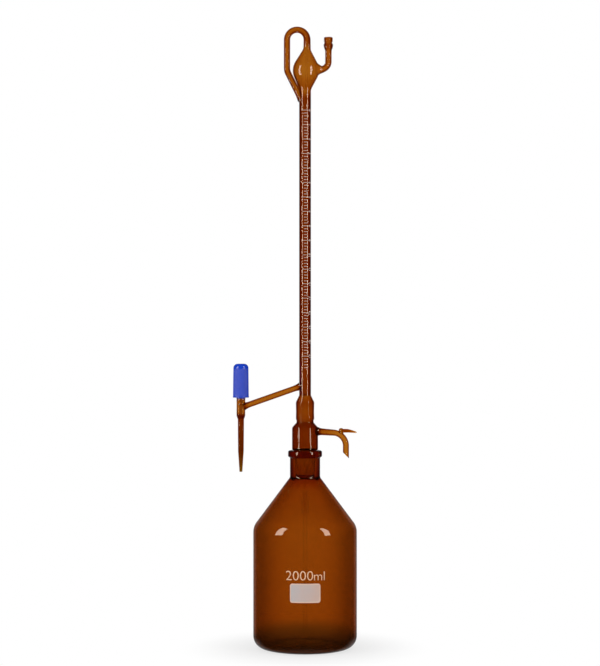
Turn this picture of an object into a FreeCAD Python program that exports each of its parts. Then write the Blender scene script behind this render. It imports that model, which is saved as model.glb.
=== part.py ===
"""Amber automatic burette standing in a two-litre reservoir bottle.

Millimetres, +Z up. The origin lies on the bottle's axis in the plane that it stands on. The outlet arm
points to -X and the pump arm to +X. One STEP file for each piece is written to parts/.
"""

import FreeCAD
import Part

import math
import os

Vector = FreeCAD.Vector
UP = Vector(0, 0, 1)
RIGHT = Vector(1, 0, 0)
FORWARD = Vector(0, 1, 0)
OVERRUN = 2.0
RUNNING_GAP = 0.05
WELD_DEPTH = 3.2

# Reservoir bottle
BODY_DIA = 136.0
BODY_WALL = 3.0
FLOOR_THICKNESS = 6.0
HEEL_RADIUS = 16.0
FOOT_DIA = 92.0
PUSH_UP_DIA = 60.0
PUSH_UP_HEIGHT = 2.5
BODY_HEIGHT = 159.3
SHOULDER_HEIGHT = 64.9
SHOULDER_RADIUS = 21.0
NECK_DIA = 39.2
NECK_HEIGHT = 26.4
NECK_RADIUS = 16.0
NECK_WALL = 4.5
FLANGE_DIA = 44.6
FLANGE_HEIGHT = 8.6
FLANGE_ROUNDING = 3.0

# Ground joint: its wide end lies in the rim's plane, and its diameter shrinks by one tenth of its length
JOINT_DIA = 29.2
JOINT_LENGTH = 32.0
JOINT_TAPER = 0.1

# Writing panel
PANEL_WIDTH = 39.4
PANEL_HEIGHT = 24.6
PANEL_ROUNDING = 3.2
PANEL_CENTRE_Z = 80.6
PANEL_THICKNESS = 0.15

# Head, from the cone's tip to the seal chamber's top
CONE_TIP_LENGTH = 6.0
HEAD_WALL = 3.0
HEAD_REST_GAP = 0.6
HEAD_DIA = 33.8
HEAD_HEIGHT = 28.8
HEAD_ROUNDING = 1.6
SHOULDER_RISE = 6.6
SHOULDER_ROUNDING = 5.5
HEAD_NECK_DIA = 21.6
HEAD_NECK_HEIGHT = 3.4
CHAMBER_DIA = 23.8
CHAMBER_HEIGHT = 24.0
CHAMBER_TAPER_HEIGHT = 9.0
CHAMBER_LIP = 1.4
CHAMBER_ROUNDING = 4.5
CHAMBER_WALL = 2.0

# Burette tube
TUBE_DIA = 15.4
TUBE_BORE = 9.1
TUBE_LENGTH = 400.0
TUBE_FLOOR = 3.0

# Overflow bulb. It was blown by hand and leans a little to the right.
BULB_LEAN = 2.4
BULB_LENGTH = 58.0
BULB_DIA = 35.2
BULB_BELLY_RISE = 27.8
BULB_BELLY_RADIUS = 22.5
BULB_FOOT_DIA = 15.0
BULB_FOOT_HEIGHT = 2.0
BULB_FOOT_ROUNDING = 14.0
BULB_NECK_DIA = 9.0
BULB_NECK_HEIGHT = 3.0
BULB_NECK_ROUNDING = 10.0
BULB_WALL = 1.7
BULB_SEAL = 5.0

# Loop tube, with the riser and the zero tube that end in its bore
LOOP_DIA = 8.2
LOOP_BORE = 3.0
LOOP_BEND_RADIUS = 13.1
LOOP_LEG_HEIGHT = 9.6
LOOP_RIGHT_X = 2.5
LOOP_SLANT = 27.0
LOOP_KNEE_RADIUS = 14.0
LOOP_SEAT = 7.0
RISER_DIA = 4.0
RISER_BORE = 2.4
RISER_OFFSET = 2.45
RISER_EXIT_DROP = 15.3
RISER_KNEE_RADIUS = 9.0
RISER_SWAY_RADIUS = 60.0
RISER_BELOW_HEAD = 26.0
ZERO_DIA = 4.2
ZERO_BORE = 2.4
ZERO_OFFSET = 1.85
ZERO_DROP = 26.0
ZERO_CUT_ANGLE = 35.0

# Dip tube and its coupling
DIP_DIA = 7.0
DIP_BORE = 4.0
DIP_FLOOR_GAP = 6.0
DIP_CUT_ANGLE = 30.0
COUPLING_DIA = 10.0
COUPLING_LENGTH = 30.0
COUPLING_WEB = 2.0
COUPLING_GRIP = 12.0

# Vent nozzle
VENT_DIA = 8.4
VENT_BORE = 3.6
VENT_WELD_DIA = 12.6
VENT_WELD_LENGTH = 5.0
VENT_X = 30.6
VENT_RISE = 28.3
VENT_BEND_RADIUS = 10.4
VENT_HEIGHT = 42.2
OLIVE_DIA = 12.3
OLIVE_LAND = 2.6
OLIVE_TAPER = 6.0
OLIVE_NECK_DIA = 9.1
VENT_LIP_DIA = 11.4
VENT_LIP_HEIGHT = 5.4
VENT_LIP_SLOPE = 1.9
VENT_LIP_ROUNDING = 0.9

# Outlet arm
ARM_DIA = 7.7
ARM_BORE = 3.0
ARM_SLANT = 19.4
ARM_RISE = 13.8
ARM_WELD_DIA = 12.3
ARM_WELD_LENGTH = 6.5
VALVE_WELD_DIA = 9.8
VALVE_WELD_LENGTH = 3.5

# Needle valve
VALVE_X = 84.3
BARREL_DIA = 11.4
BARREL_BORE = 8.2
BARREL_ABOVE_ARM = 11.6
BARREL_BELOW_ARM = 10.8
BARREL_TAPER = 4.6
SEAT_HEIGHT = 5.0
SEAT_BORE = 3.0
SEAT_ABOVE_TAPER = 3.0
SEAT_GAP = 0.1
TIP_TUBE_DIA = 8.1
TIP_TUBE_END_DIA = 7.4
TIP_TUBE_LENGTH = 41.7
TIP_TUBE_BORE = 3.0
TIP_CONE_LENGTH = 27.5
TIP_END_DIA = 3.75
TIP_END_BORE = 1.5
TIP_ROUNDING = 0.5

# Threaded bush, spindle and seals. The thread is drawn as plain cylinders with a running gap.
BUSH_DIA = 11.9
BUSH_HEIGHT = 25.1
BUSH_SPIGOT = 3.4
BUSH_GUIDE_BORE = 7.6
BUSH_GUIDE_DEPTH = 17.0
STEM_DIA = 5.0
NEEDLE_DIA = 4.8
NEEDLE_TIP_DIA = 2.0
NEEDLE_POINT_LENGTH = 2.5
PISTON_DIA = 7.4
PISTON_HEIGHT = 2.5
PISTON_ABOVE_ARM = 2.7
GUIDE_DIA = 7.2
GUIDE_HEIGHT = 4.0
GUIDE_BELOW_TOP = 10.0
SEAL_GROOVE_DIA = 5.0
SEAL_HEIGHT = 1.5
STEM_SEAT = 16.6

# Knob
KNOB_HEIGHT = 44.4
KNOB_TOP_DIA = 19.5
KNOB_FOOT_DIA = 20.7
KNOB_ABOVE_BARREL = 1.4
KNOB_CHAMFER_HEIGHT = 3.8
KNOB_CHAMFER_WIDTH = 3.3
KNOB_CHAMFER_ROUNDING = 2.4
KNOB_FOOT_ROUNDING = 0.6
KNOB_CAVITY_DEPTH = 24.6
KNOB_CORE_DIA = 14.6
KNOB_BOSS_DIA = 9.4
KNOB_CORE_DEPTH = 37.5

# Pump arm, relief nipple and thumb rest
PUMP_DIA = 7.8
PUMP_BORE = 4.6
PUMP_RISE = 22.7
PUMP_DROOP = 2.5
PUMP_X = 53.7
PUMP_BEND_RADIUS = 17.3
PUMP_LEG_END = 33.6
PUMP_CUT_ANGLE = 45.0
PUMP_WELD_DIA = 10.6
PUMP_WELD_LENGTH = 3.6
NIPPLE_DIA = 6.0
NIPPLE_HOLE = 2.2
NIPPLE_X = 47.4
NIPPLE_RISE = 6.1
NIPPLE_ROUNDING = 2.2
REST_REACH = 14.0
REST_ROOT_HEIGHT = 4.2
REST_ROOT_WIDTH = 5.6
REST_TIP_HEIGHT = 0.8
REST_TIP_WIDTH = 1.8
REST_CREST_SHARE = 0.5
REST_CREST_ROUNDING = 20.0

# Levels that follow from the sizes above
RIM_Z = BODY_HEIGHT + SHOULDER_HEIGHT + NECK_HEIGHT + FLANGE_HEIGHT
FLANGE_Z = RIM_Z - FLANGE_HEIGHT
JOINT_FOOT_Z = RIM_Z - JOINT_LENGTH
HEAD_Z = RIM_Z + HEAD_REST_GAP
HEAD_SHOULDER_Z = HEAD_Z + HEAD_HEIGHT
HEAD_TOP_Z = HEAD_SHOULDER_Z + SHOULDER_RISE + HEAD_NECK_HEIGHT
CHAMBER_TAPER_Z = HEAD_TOP_Z + CHAMBER_HEIGHT
TUBE_Z = CHAMBER_TAPER_Z + CHAMBER_TAPER_HEIGHT
TUBE_TOP_Z = TUBE_Z + TUBE_LENGTH
BULB_TOP_Z = TUBE_TOP_Z + BULB_LENGTH
LOOP_CENTRE_Z = BULB_TOP_Z + LOOP_LEG_HEIGHT
LOOP_LEFT_X = LOOP_RIGHT_X - 2 * LOOP_BEND_RADIUS
RISER_EXIT_Z = TUBE_TOP_Z - RISER_EXIT_DROP
CONE_TIP_Z = JOINT_FOOT_Z - CONE_TIP_LENGTH
RISER_FOOT_Z = CONE_TIP_Z - RISER_BELOW_HEAD
COUPLING_Z = RISER_FOOT_Z + COUPLING_GRIP - COUPLING_LENGTH
DIP_TOP_Z = RISER_FOOT_Z - COUPLING_WEB
DIP_Z = FLOOR_THICKNESS + DIP_FLOOR_GAP
ARM_Z = TUBE_Z + ARM_RISE
ARM_DROP = VALVE_X * math.tan(math.radians(ARM_SLANT))
ARM_END_Z = ARM_Z - ARM_DROP
BARREL_TOP_Z = ARM_END_Z + BARREL_ABOVE_ARM
TAPER_TOP_Z = ARM_END_Z - BARREL_BELOW_ARM
BARREL_Z = TAPER_TOP_Z - BARREL_TAPER
SEAT_Z = BARREL_Z + SEAT_ABOVE_TAPER
TIP_CONE_Z = BARREL_Z - TIP_TUBE_LENGTH
TIP_Z = TIP_CONE_Z - TIP_CONE_LENGTH
BUSH_TOP_Z = BARREL_TOP_Z + BUSH_HEIGHT
KNOB_Z = BARREL_TOP_Z + KNOB_ABOVE_BARREL
KNOB_TOP_Z = KNOB_Z + KNOB_HEIGHT
STEM_TOP_Z = KNOB_Z + KNOB_CAVITY_DEPTH + STEM_SEAT
PISTON_Z = ARM_END_Z + PISTON_ABOVE_ARM
GUIDE_Z = BUSH_TOP_Z - GUIDE_BELOW_TOP - GUIDE_HEIGHT
PUMP_Z = HEAD_Z + PUMP_RISE
PUMP_END_Z = PUMP_Z - PUMP_LEG_END
VENT_Z = TUBE_TOP_Z + VENT_RISE
VENT_TOP_Z = VENT_Z + VENT_HEIGHT


def unit(vector):
    return vector * (1 / vector.Length)


def rounded_wire(corners):
    """A closed outline in the XZ plane through (x, z) or (x, z, rounding) corners."""
    points = [Vector(c[0], 0, c[1]) for c in corners]
    rounds = [c[2] if len(c) > 2 else 0 for c in corners]
    edges, ends = [], []
    for i, corner in enumerate(points):
        back = unit(points[i - 1] - corner)
        ahead = unit(points[(i + 1) % len(points)] - corner)
        half = back.getAngle(ahead) / 2
        if not rounds[i]:
            ends.append((corner, corner))
            continue
        reach = rounds[i] / math.tan(half)
        centre = corner + unit(back + ahead) * (rounds[i] / math.sin(half))
        start, stop = corner + back * reach, corner + ahead * reach
        middle = centre + unit(corner - centre) * rounds[i]
        edges.append(Part.Arc(start, middle, stop).toShape())
        ends.append((start, stop))
    for i, (start, stop) in enumerate(ends):
        following = ends[(i + 1) % len(ends)][0]
        edges.append(Part.LineSegment(stop, following).toShape())
    return Part.Wire(Part.__sortEdges__(edges))


def turned(corners):
    """The solid that an outline of (radius, z) corners sweeps round the Z axis."""
    return Part.Face(rounded_wire(corners)).revolve(Vector(), UP, 360)


def cylinder(radius, low, high, x=0):
    return Part.makeCylinder(radius, high - low, Vector(x, 0, low))


def upright(shape, x, z):
    """Moves a turned shape from the origin to an upright axis at x, starting at z."""
    moved = shape.copy()
    moved.translate(Vector(x, 0, z))
    return moved


def rod(corners, radius, lead=0):
    """A round rod along straight runs and tangent bends in the XZ plane.

    corners holds (x, z) ends and (x, z, bend radius) bends. lead lengthens both ends.
    """
    points = [Vector(c[0], 0, c[1]) for c in corners]
    points[0] = points[0] + unit(points[0] - points[1]) * lead
    points[-1] = points[-1] + unit(points[-1] - points[-2]) * lead
    pieces, start = [], points[0]
    for i in range(1, len(points)):
        run = unit(points[i] - points[i - 1])
        last = i == len(points) - 1
        stop = points[i]
        if not last:
            ahead = unit(points[i + 1] - points[i])
            turn = run.getAngle(ahead)
            bend = corners[i][2]
            stop = points[i] - run * (bend * math.tan(turn / 2))
        pieces.append(Part.makeCylinder(radius, (stop - start).Length, start, run))
        if last:
            break
        inward = unit(ahead - run * ahead.dot(run))
        centre = stop + inward * bend
        spin = run.cross(ahead)
        disc = Part.Face(Part.Wire(Part.makeCircle(radius, stop, run)))
        pieces.append(disc.revolve(centre, spin, math.degrees(turn)))
        start = points[i] + ahead * (bend * math.tan(turn / 2))
    return pieces[0].fuse(pieces[1:]).removeSplitter() if len(pieces) > 1 else pieces[0]


def tube(corners, diameter, bore):
    return rod(corners, diameter / 2).cut(rod(corners, bore / 2, OVERRUN))


def slab_below(point, normal, size):
    """A block that fills the side of a plane that its normal points away from."""
    block = Part.makeBox(2 * size, 2 * size, size, Vector(-size, -size, -size))
    block.Placement = FreeCAD.Placement(point, FreeCAD.Rotation(UP, normal))
    return block


def socket_outline(shrink, low, high):
    """Radii of the ground joint at two levels, made smaller by shrink."""
    wide = JOINT_DIA / 2 - shrink
    return (
        wide - (RIM_Z - low) * JOINT_TAPER / 2,
        wide - (RIM_Z - high) * JOINT_TAPER / 2,
    )


def reservoir_bottle():
    radius, neck, flange = BODY_DIA / 2, NECK_DIA / 2, FLANGE_DIA / 2
    outside = [
        (0, PUSH_UP_HEIGHT),
        (PUSH_UP_DIA / 2, PUSH_UP_HEIGHT),
        (FOOT_DIA / 2, 0),
        (radius, 0, HEEL_RADIUS),
        (radius, BODY_HEIGHT, SHOULDER_RADIUS),
        (neck, BODY_HEIGHT + SHOULDER_HEIGHT, NECK_RADIUS),
        (neck, FLANGE_Z),
        (flange, FLANGE_Z, FLANGE_ROUNDING),
        (flange, RIM_Z, FLANGE_ROUNDING),
        (0, RIM_Z),
    ]
    slope = math.atan2(SHOULDER_HEIGHT, radius - neck)
    inset = BODY_WALL * math.tan(slope / 2)
    inner_neck = neck - NECK_WALL
    drop = (radius - BODY_WALL - inner_neck) * math.tan(slope)
    narrow, wide = socket_outline(0, JOINT_FOOT_Z, RIM_Z)
    inside = [
        (0, FLOOR_THICKNESS),
        (radius - BODY_WALL, FLOOR_THICKNESS, HEEL_RADIUS - BODY_WALL),
        (radius - BODY_WALL, BODY_HEIGHT - inset, SHOULDER_RADIUS - BODY_WALL),
        (inner_neck, BODY_HEIGHT - inset + drop, NECK_RADIUS),
        (inner_neck, JOINT_FOOT_Z - (inner_neck - narrow)),
        (narrow, JOINT_FOOT_Z),
        (wide, RIM_Z),
        (wide, RIM_Z + OVERRUN),
        (0, RIM_Z + OVERRUN),
    ]
    return turned(outside).cut(turned(inside))


def writing_panel():
    radius = BODY_DIA / 2
    low, high = PANEL_CENTRE_Z - PANEL_HEIGHT / 2, PANEL_CENTRE_Z + PANEL_HEIGHT / 2
    half, corner = PANEL_WIDTH / 2, PANEL_ROUNDING
    outline = rounded_wire(
        [(-half, low, corner), (half, low, corner), (half, high, corner), (-half, high, corner)]
    )
    stamp = Part.Face(outline).extrude(Vector(0, -BODY_DIA, 0))
    skin = cylinder(radius + PANEL_THICKNESS, low - OVERRUN, high + OVERRUN).cut(
        cylinder(radius, low - 2 * OVERRUN, high + 2 * OVERRUN)
    )
    return skin.common(stamp)


def head_cone():
    narrow, wide = socket_outline(RUNNING_GAP, JOINT_FOOT_Z, RIM_Z)
    bore = narrow - HEAD_WALL
    wide_bore, neck_bore = HEAD_DIA / 2 - HEAD_WALL, HEAD_NECK_DIA / 2 - HEAD_WALL
    outside = [
        (0, CONE_TIP_Z),
        (narrow - HEAD_WALL / 2, CONE_TIP_Z),
        (narrow, JOINT_FOOT_Z),
        (wide, RIM_Z),
        (wide, HEAD_Z),
        (HEAD_DIA / 2, HEAD_Z, HEAD_ROUNDING),
        (HEAD_DIA / 2, HEAD_SHOULDER_Z, SHOULDER_ROUNDING),
        (HEAD_NECK_DIA / 2, HEAD_SHOULDER_Z + SHOULDER_RISE),
        (HEAD_NECK_DIA / 2, HEAD_TOP_Z),
        (0, HEAD_TOP_Z),
    ]
    inside = [
        (0, CONE_TIP_Z - OVERRUN),
        (bore, CONE_TIP_Z - OVERRUN),
        (bore, HEAD_Z),
        (wide_bore, HEAD_Z + (wide_bore - bore)),
        (wide_bore, HEAD_SHOULDER_Z - HEAD_WALL / 2, SHOULDER_ROUNDING - HEAD_WALL),
        (neck_bore, HEAD_SHOULDER_Z + SHOULDER_RISE - HEAD_WALL / 2),
        (neck_bore, HEAD_TOP_Z + OVERRUN),
        (0, HEAD_TOP_Z + OVERRUN),
    ]
    shell = turned(outside).cut(turned(inside))
    return shell.cut(pump_rod(PUMP_BORE / 2, OVERRUN))


def seal_chamber():
    radius, foot = CHAMBER_DIA / 2, HEAD_NECK_DIA / 2 - HEAD_WALL / 2
    bore, top_bore = radius - CHAMBER_WALL, TUBE_DIA / 2 - CHAMBER_WALL
    outside = [
        (0, HEAD_TOP_Z),
        (foot, HEAD_TOP_Z),
        (radius, HEAD_TOP_Z + CHAMBER_LIP),
        (radius, CHAMBER_TAPER_Z, CHAMBER_ROUNDING),
        (TUBE_DIA / 2, TUBE_Z),
        (0, TUBE_Z),
    ]
    inside = [
        (0, HEAD_TOP_Z - OVERRUN),
        (foot - CHAMBER_WALL, HEAD_TOP_Z - OVERRUN),
        (foot - CHAMBER_WALL, HEAD_TOP_Z),
        (bore, HEAD_TOP_Z + CHAMBER_WALL),
        (bore, CHAMBER_TAPER_Z - CHAMBER_WALL / 2, CHAMBER_ROUNDING - CHAMBER_WALL),
        (top_bore, TUBE_Z),
        (top_bore, TUBE_Z + OVERRUN),
        (0, TUBE_Z + OVERRUN),
    ]
    return turned(outside).cut(turned(inside))


def riser_corners():
    slant = math.radians(LOOP_SLANT)
    wall_run = (TUBE_DIA / 2 - RISER_OFFSET) / math.sin(slant)
    loop_run = LOOP_DIA / 2 / math.tan(slant)
    reach = wall_run + loop_run + LOOP_SEAT
    end = (-RISER_OFFSET - reach * math.sin(slant), RISER_EXIT_Z + reach * math.cos(slant))
    return [
        (0, RISER_FOOT_Z),
        (0, HEAD_Z, RISER_SWAY_RADIUS),
        (-RISER_OFFSET, HEAD_SHOULDER_Z, RISER_SWAY_RADIUS),
        (-RISER_OFFSET, RISER_EXIT_Z, RISER_KNEE_RADIUS),
        end,
    ]


def riser_tube():
    return tube(riser_corners(), RISER_DIA, RISER_BORE)


def riser_outside():
    return rod(riser_corners(), RISER_DIA / 2)


def burette_tube():
    body = cylinder(TUBE_DIA / 2, TUBE_Z, TUBE_TOP_Z)
    bore = cylinder(TUBE_BORE / 2, TUBE_Z + TUBE_FLOOR, TUBE_TOP_Z + OVERRUN)
    return body.cut([bore, arm_rod(ARM_BORE / 2), riser_outside()])


def bulb_corners(wall, foot, neck, top):
    """The bulb's outline from its foot, drawn in by wall from the belly."""
    corner = BULB_DIA / 2 + BULB_BELLY_RADIUS * bulb_flatness() - wall
    return [
        (0, -OVERRUN),
        (foot, -OVERRUN),
        (foot, BULB_FOOT_HEIGHT, BULB_FOOT_ROUNDING),
        (corner, BULB_BELLY_RISE, BULB_BELLY_RADIUS - wall),
        (neck, top - BULB_NECK_HEIGHT, BULB_NECK_ROUNDING),
        (neck, top),
        (0, top),
    ]


def bulb_flatness():
    """How far the belly's sharp corner would stand past its round, as a share of the round's radius."""
    low = math.atan2(BULB_DIA - BULB_FOOT_DIA, 2 * BULB_BELLY_RISE)
    high = math.atan2(BULB_DIA - BULB_NECK_DIA, 2 * (BULB_LENGTH - BULB_BELLY_RISE))
    return 1 / math.cos((low + high) / 2) - 1


def lean(shape):
    """Sets a bulb shape on the burette tube's top, leaning to the right."""
    leaning = shape.copy()
    leaning.rotate(Vector(), FORWARD, BULB_LEAN)
    leaning.translate(Vector(0, 0, TUBE_TOP_Z))
    return leaning


def bulb_outside():
    top = BULB_LENGTH + OVERRUN
    blown = lean(turned(bulb_corners(0, BULB_FOOT_DIA / 2, BULB_NECK_DIA / 2, top)))
    below = slab_below(Vector(0, 0, TUBE_TOP_Z), UP, BULB_LENGTH)
    above = slab_below(Vector(0, 0, BULB_TOP_Z), -UP, BULB_LENGTH)
    return blown.cut([below, above])


def bulb_cavity():
    top = BULB_LENGTH - BULB_SEAL
    foot = TUBE_BORE / 2
    hollow = lean(turned(bulb_corners(BULB_WALL, foot, ZERO_DIA / 2, top)))
    return hollow.fuse(cylinder(foot, TUBE_TOP_Z - OVERRUN, TUBE_TOP_Z + OVERRUN))


def overflow_bulb():
    return bulb_outside().cut([bulb_cavity(), zero_outside(), vent_rod(VENT_BORE / 2, OVERRUN)])


def loop_corners():
    slant = math.radians(LOOP_SLANT)
    top = LOOP_CENTRE_Z + LOOP_BEND_RADIUS
    knee_drop = (-LOOP_LEFT_X - RISER_OFFSET) / math.tan(slant)
    return [
        (-RISER_OFFSET - LOOP_DIA / 4, RISER_EXIT_Z + LOOP_DIA / 4 / math.tan(slant)),
        (LOOP_LEFT_X, RISER_EXIT_Z + knee_drop, LOOP_KNEE_RADIUS),
        (LOOP_LEFT_X, top, LOOP_BEND_RADIUS),
        (LOOP_RIGHT_X, top, LOOP_BEND_RADIUS),
        (LOOP_RIGHT_X, BULB_TOP_Z),
    ]


def loop_tube():
    drawn = tube(loop_corners(), LOOP_DIA, LOOP_BORE)
    wall = cylinder(TUBE_DIA / 2, TUBE_Z, TUBE_TOP_Z)
    return drawn.cut([wall, bulb_outside(), riser_outside(), zero_outside()])


def zero_corners():
    foot_z = TUBE_TOP_Z - ZERO_DROP
    return [(ZERO_OFFSET, foot_z), (LOOP_RIGHT_X, BULB_TOP_Z + LOOP_SEAT)]


def zero_cut():
    """The block below the zero tube's slanted end, whose lowest point lies on the zero line."""
    angle = math.radians(ZERO_CUT_ANGLE)
    lowest = Vector(ZERO_OFFSET + ZERO_DIA / 2, 0, TUBE_TOP_Z - ZERO_DROP)
    return slab_below(lowest, Vector(math.sin(angle), 0, math.cos(angle)), TUBE_DIA)


def zero_outside():
    return rod(zero_corners(), ZERO_DIA / 2).cut(zero_cut())


def zero_tube():
    return tube(zero_corners(), ZERO_DIA, ZERO_BORE).cut(zero_cut())


def vent_corners():
    return [(0, VENT_Z), (VENT_X, VENT_Z, VENT_BEND_RADIUS), (VENT_X, VENT_TOP_Z)]


def vent_rod(radius, lead):
    return rod(vent_corners(), radius, lead)


def vent_nozzle():
    land, lip = OLIVE_DIA / 2, VENT_LIP_DIA / 2
    lip_z = VENT_TOP_Z - VENT_LIP_HEIGHT
    neck_z = lip_z - VENT_LIP_SLOPE
    land_z = neck_z - VENT_LIP_SLOPE
    olive = turned(
        [
            (0, land_z - OLIVE_LAND - OLIVE_TAPER),
            (VENT_DIA / 2, land_z - OLIVE_LAND - OLIVE_TAPER),
            (land, land_z - OLIVE_LAND),
            (land, land_z),
            (OLIVE_NECK_DIA / 2, neck_z),
            (lip, lip_z),
            (lip, VENT_TOP_Z, VENT_LIP_ROUNDING),
            (0, VENT_TOP_Z),
        ]
    )
    wall = BULB_DIA / 2 + VENT_RISE * math.tan(math.radians(BULB_LEAN))
    root = weld_cone(0, VENT_Z, RIGHT, wall, VENT_DIA, VENT_WELD_DIA, VENT_WELD_LENGTH)
    outside = vent_rod(VENT_DIA / 2, 0).fuse([upright(olive, VENT_X, 0), root]).removeSplitter()
    return outside.cut([vent_rod(VENT_BORE / 2, OVERRUN), bulb_outside(), bulb_cavity()])


def arm_rod(radius):
    return rod([(0, ARM_Z), (-VALVE_X, ARM_END_Z)], radius)


def weld_cone(x, z, along, wall, diameter, weld_dia, weld_length):
    """A flared root that starts inside a wall of the given radius around (x, z)."""
    root = Vector(x, 0, z) + along * (wall - WELD_DEPTH)
    height = WELD_DEPTH + weld_length
    return Part.makeCone(weld_dia / 2, diameter / 2, height, root, along)


def outlet_arm():
    along = unit(Vector(-VALVE_X, 0, ARM_END_Z - ARM_Z))
    near = weld_cone(0, ARM_Z, along, TUBE_DIA / 2, ARM_DIA, ARM_WELD_DIA, ARM_WELD_LENGTH)
    far = weld_cone(-VALVE_X, ARM_END_Z, -along, BARREL_DIA / 2, ARM_DIA, VALVE_WELD_DIA, VALVE_WELD_LENGTH)
    outside = arm_rod(ARM_DIA / 2).fuse([near, far])
    wall = cylinder(TUBE_DIA / 2, TUBE_Z, TUBE_TOP_Z)
    barrel = cylinder(BARREL_DIA / 2, BARREL_Z, BARREL_TOP_Z, -VALVE_X)
    return outside.cut([wall, barrel, arm_rod(ARM_BORE / 2)])


def valve_barrel():
    outside = [
        (0, BARREL_Z),
        (TIP_TUBE_DIA / 2, BARREL_Z),
        (BARREL_DIA / 2, TAPER_TOP_Z),
        (BARREL_DIA / 2, BARREL_TOP_Z),
        (0, BARREL_TOP_Z),
    ]
    inside = [
        (0, BARREL_Z - OVERRUN),
        (SEAT_BORE / 2, BARREL_Z - OVERRUN),
        (SEAT_BORE / 2, SEAT_Z),
        (BARREL_BORE / 2, SEAT_Z + SEAT_HEIGHT),
        (BARREL_BORE / 2, BARREL_TOP_Z + OVERRUN),
        (0, BARREL_TOP_Z + OVERRUN),
    ]
    body = upright(turned(outside).cut(turned(inside)), -VALVE_X, 0)
    return body.cut(arm_rod(ARM_BORE / 2))


def outlet_tip():
    outside = [
        (0, TIP_Z),
        (TIP_END_DIA / 2, TIP_Z, TIP_ROUNDING),
        (TIP_TUBE_END_DIA / 2, TIP_CONE_Z),
        (TIP_TUBE_DIA / 2, BARREL_Z),
        (0, BARREL_Z),
    ]
    inside = [
        (0, TIP_Z - OVERRUN),
        (TIP_END_BORE / 2, TIP_Z - OVERRUN),
        (TIP_END_BORE / 2, TIP_Z),
        (TIP_TUBE_BORE / 2, TIP_CONE_Z),
        (TIP_TUBE_BORE / 2, BARREL_Z + OVERRUN),
        (0, BARREL_Z + OVERRUN),
    ]
    return upright(turned(outside).cut(turned(inside)), -VALVE_X, 0)


def valve_bush():
    outside = [
        (0, BARREL_TOP_Z - BUSH_SPIGOT),
        (BARREL_BORE / 2, BARREL_TOP_Z - BUSH_SPIGOT),
        (BARREL_BORE / 2, BARREL_TOP_Z),
        (BUSH_DIA / 2, BARREL_TOP_Z),
        (BUSH_DIA / 2, BUSH_TOP_Z),
        (0, BUSH_TOP_Z),
    ]
    stem = STEM_DIA / 2 + RUNNING_GAP
    guide = BUSH_GUIDE_BORE / 2
    inside = [
        (0, BARREL_TOP_Z - BUSH_SPIGOT - OVERRUN),
        (stem, BARREL_TOP_Z - BUSH_SPIGOT - OVERRUN),
        (stem, BUSH_TOP_Z - BUSH_GUIDE_DEPTH),
        (guide, BUSH_TOP_Z - BUSH_GUIDE_DEPTH),
        (guide, BUSH_TOP_Z + OVERRUN),
        (0, BUSH_TOP_Z + OVERRUN),
    ]
    return upright(turned(outside).cut(turned(inside)), -VALVE_X, 0)


def seal_groove(z):
    """The ring cut into the spindle for a seal that starts at z."""
    low, high = z - RUNNING_GAP, z + SEAL_HEIGHT + RUNNING_GAP
    root = cylinder(SEAL_GROOVE_DIA / 2, low - OVERRUN, high + OVERRUN)
    return cylinder(BARREL_BORE, low, high).cut(root)


def lower_seal_z():
    return PISTON_Z + (PISTON_HEIGHT - SEAL_HEIGHT) / 2


def upper_seal_z():
    return GUIDE_Z + (GUIDE_HEIGHT - SEAL_HEIGHT) / 2


def needle_spindle():
    rise_per_width = SEAT_HEIGHT / (BARREL_BORE - SEAT_BORE)
    seat_z = SEAT_Z + SEAT_GAP
    cone_foot = seat_z - (SEAT_BORE - NEEDLE_TIP_DIA) * rise_per_width
    cone_top = seat_z + (NEEDLE_DIA - SEAT_BORE) * rise_per_width
    body = turned(
        [
            (0, cone_foot - NEEDLE_POINT_LENGTH),
            (NEEDLE_TIP_DIA / 2, cone_foot),
            (NEEDLE_DIA / 2, cone_top),
            (NEEDLE_DIA / 2, PISTON_Z),
            (PISTON_DIA / 2, PISTON_Z),
            (PISTON_DIA / 2, PISTON_Z + PISTON_HEIGHT),
            (STEM_DIA / 2, PISTON_Z + PISTON_HEIGHT),
            (STEM_DIA / 2, GUIDE_Z),
            (GUIDE_DIA / 2, GUIDE_Z),
            (GUIDE_DIA / 2, GUIDE_Z + GUIDE_HEIGHT),
            (STEM_DIA / 2, GUIDE_Z + GUIDE_HEIGHT),
            (STEM_DIA / 2, STEM_TOP_Z),
            (0, STEM_TOP_Z),
        ]
    )
    grooved = body.cut([seal_groove(lower_seal_z()), seal_groove(upper_seal_z())])
    return upright(grooved, -VALVE_X, 0)


def seal_ring(z, bore):
    """A round ring that fills the way from the spindle's groove to a bore."""
    inner = SEAL_GROOVE_DIA / 2 + RUNNING_GAP
    outer = bore / 2 - RUNNING_GAP
    round_radius = min(SEAL_HEIGHT, outer - inner) / 2
    ring = Part.makeTorus((inner + outer) / 2, round_radius)
    return upright(ring, -VALVE_X, z + SEAL_HEIGHT / 2)


def lower_seal():
    return seal_ring(lower_seal_z(), BARREL_BORE)


def upper_seal():
    return seal_ring(upper_seal_z(), BUSH_GUIDE_BORE)


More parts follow.
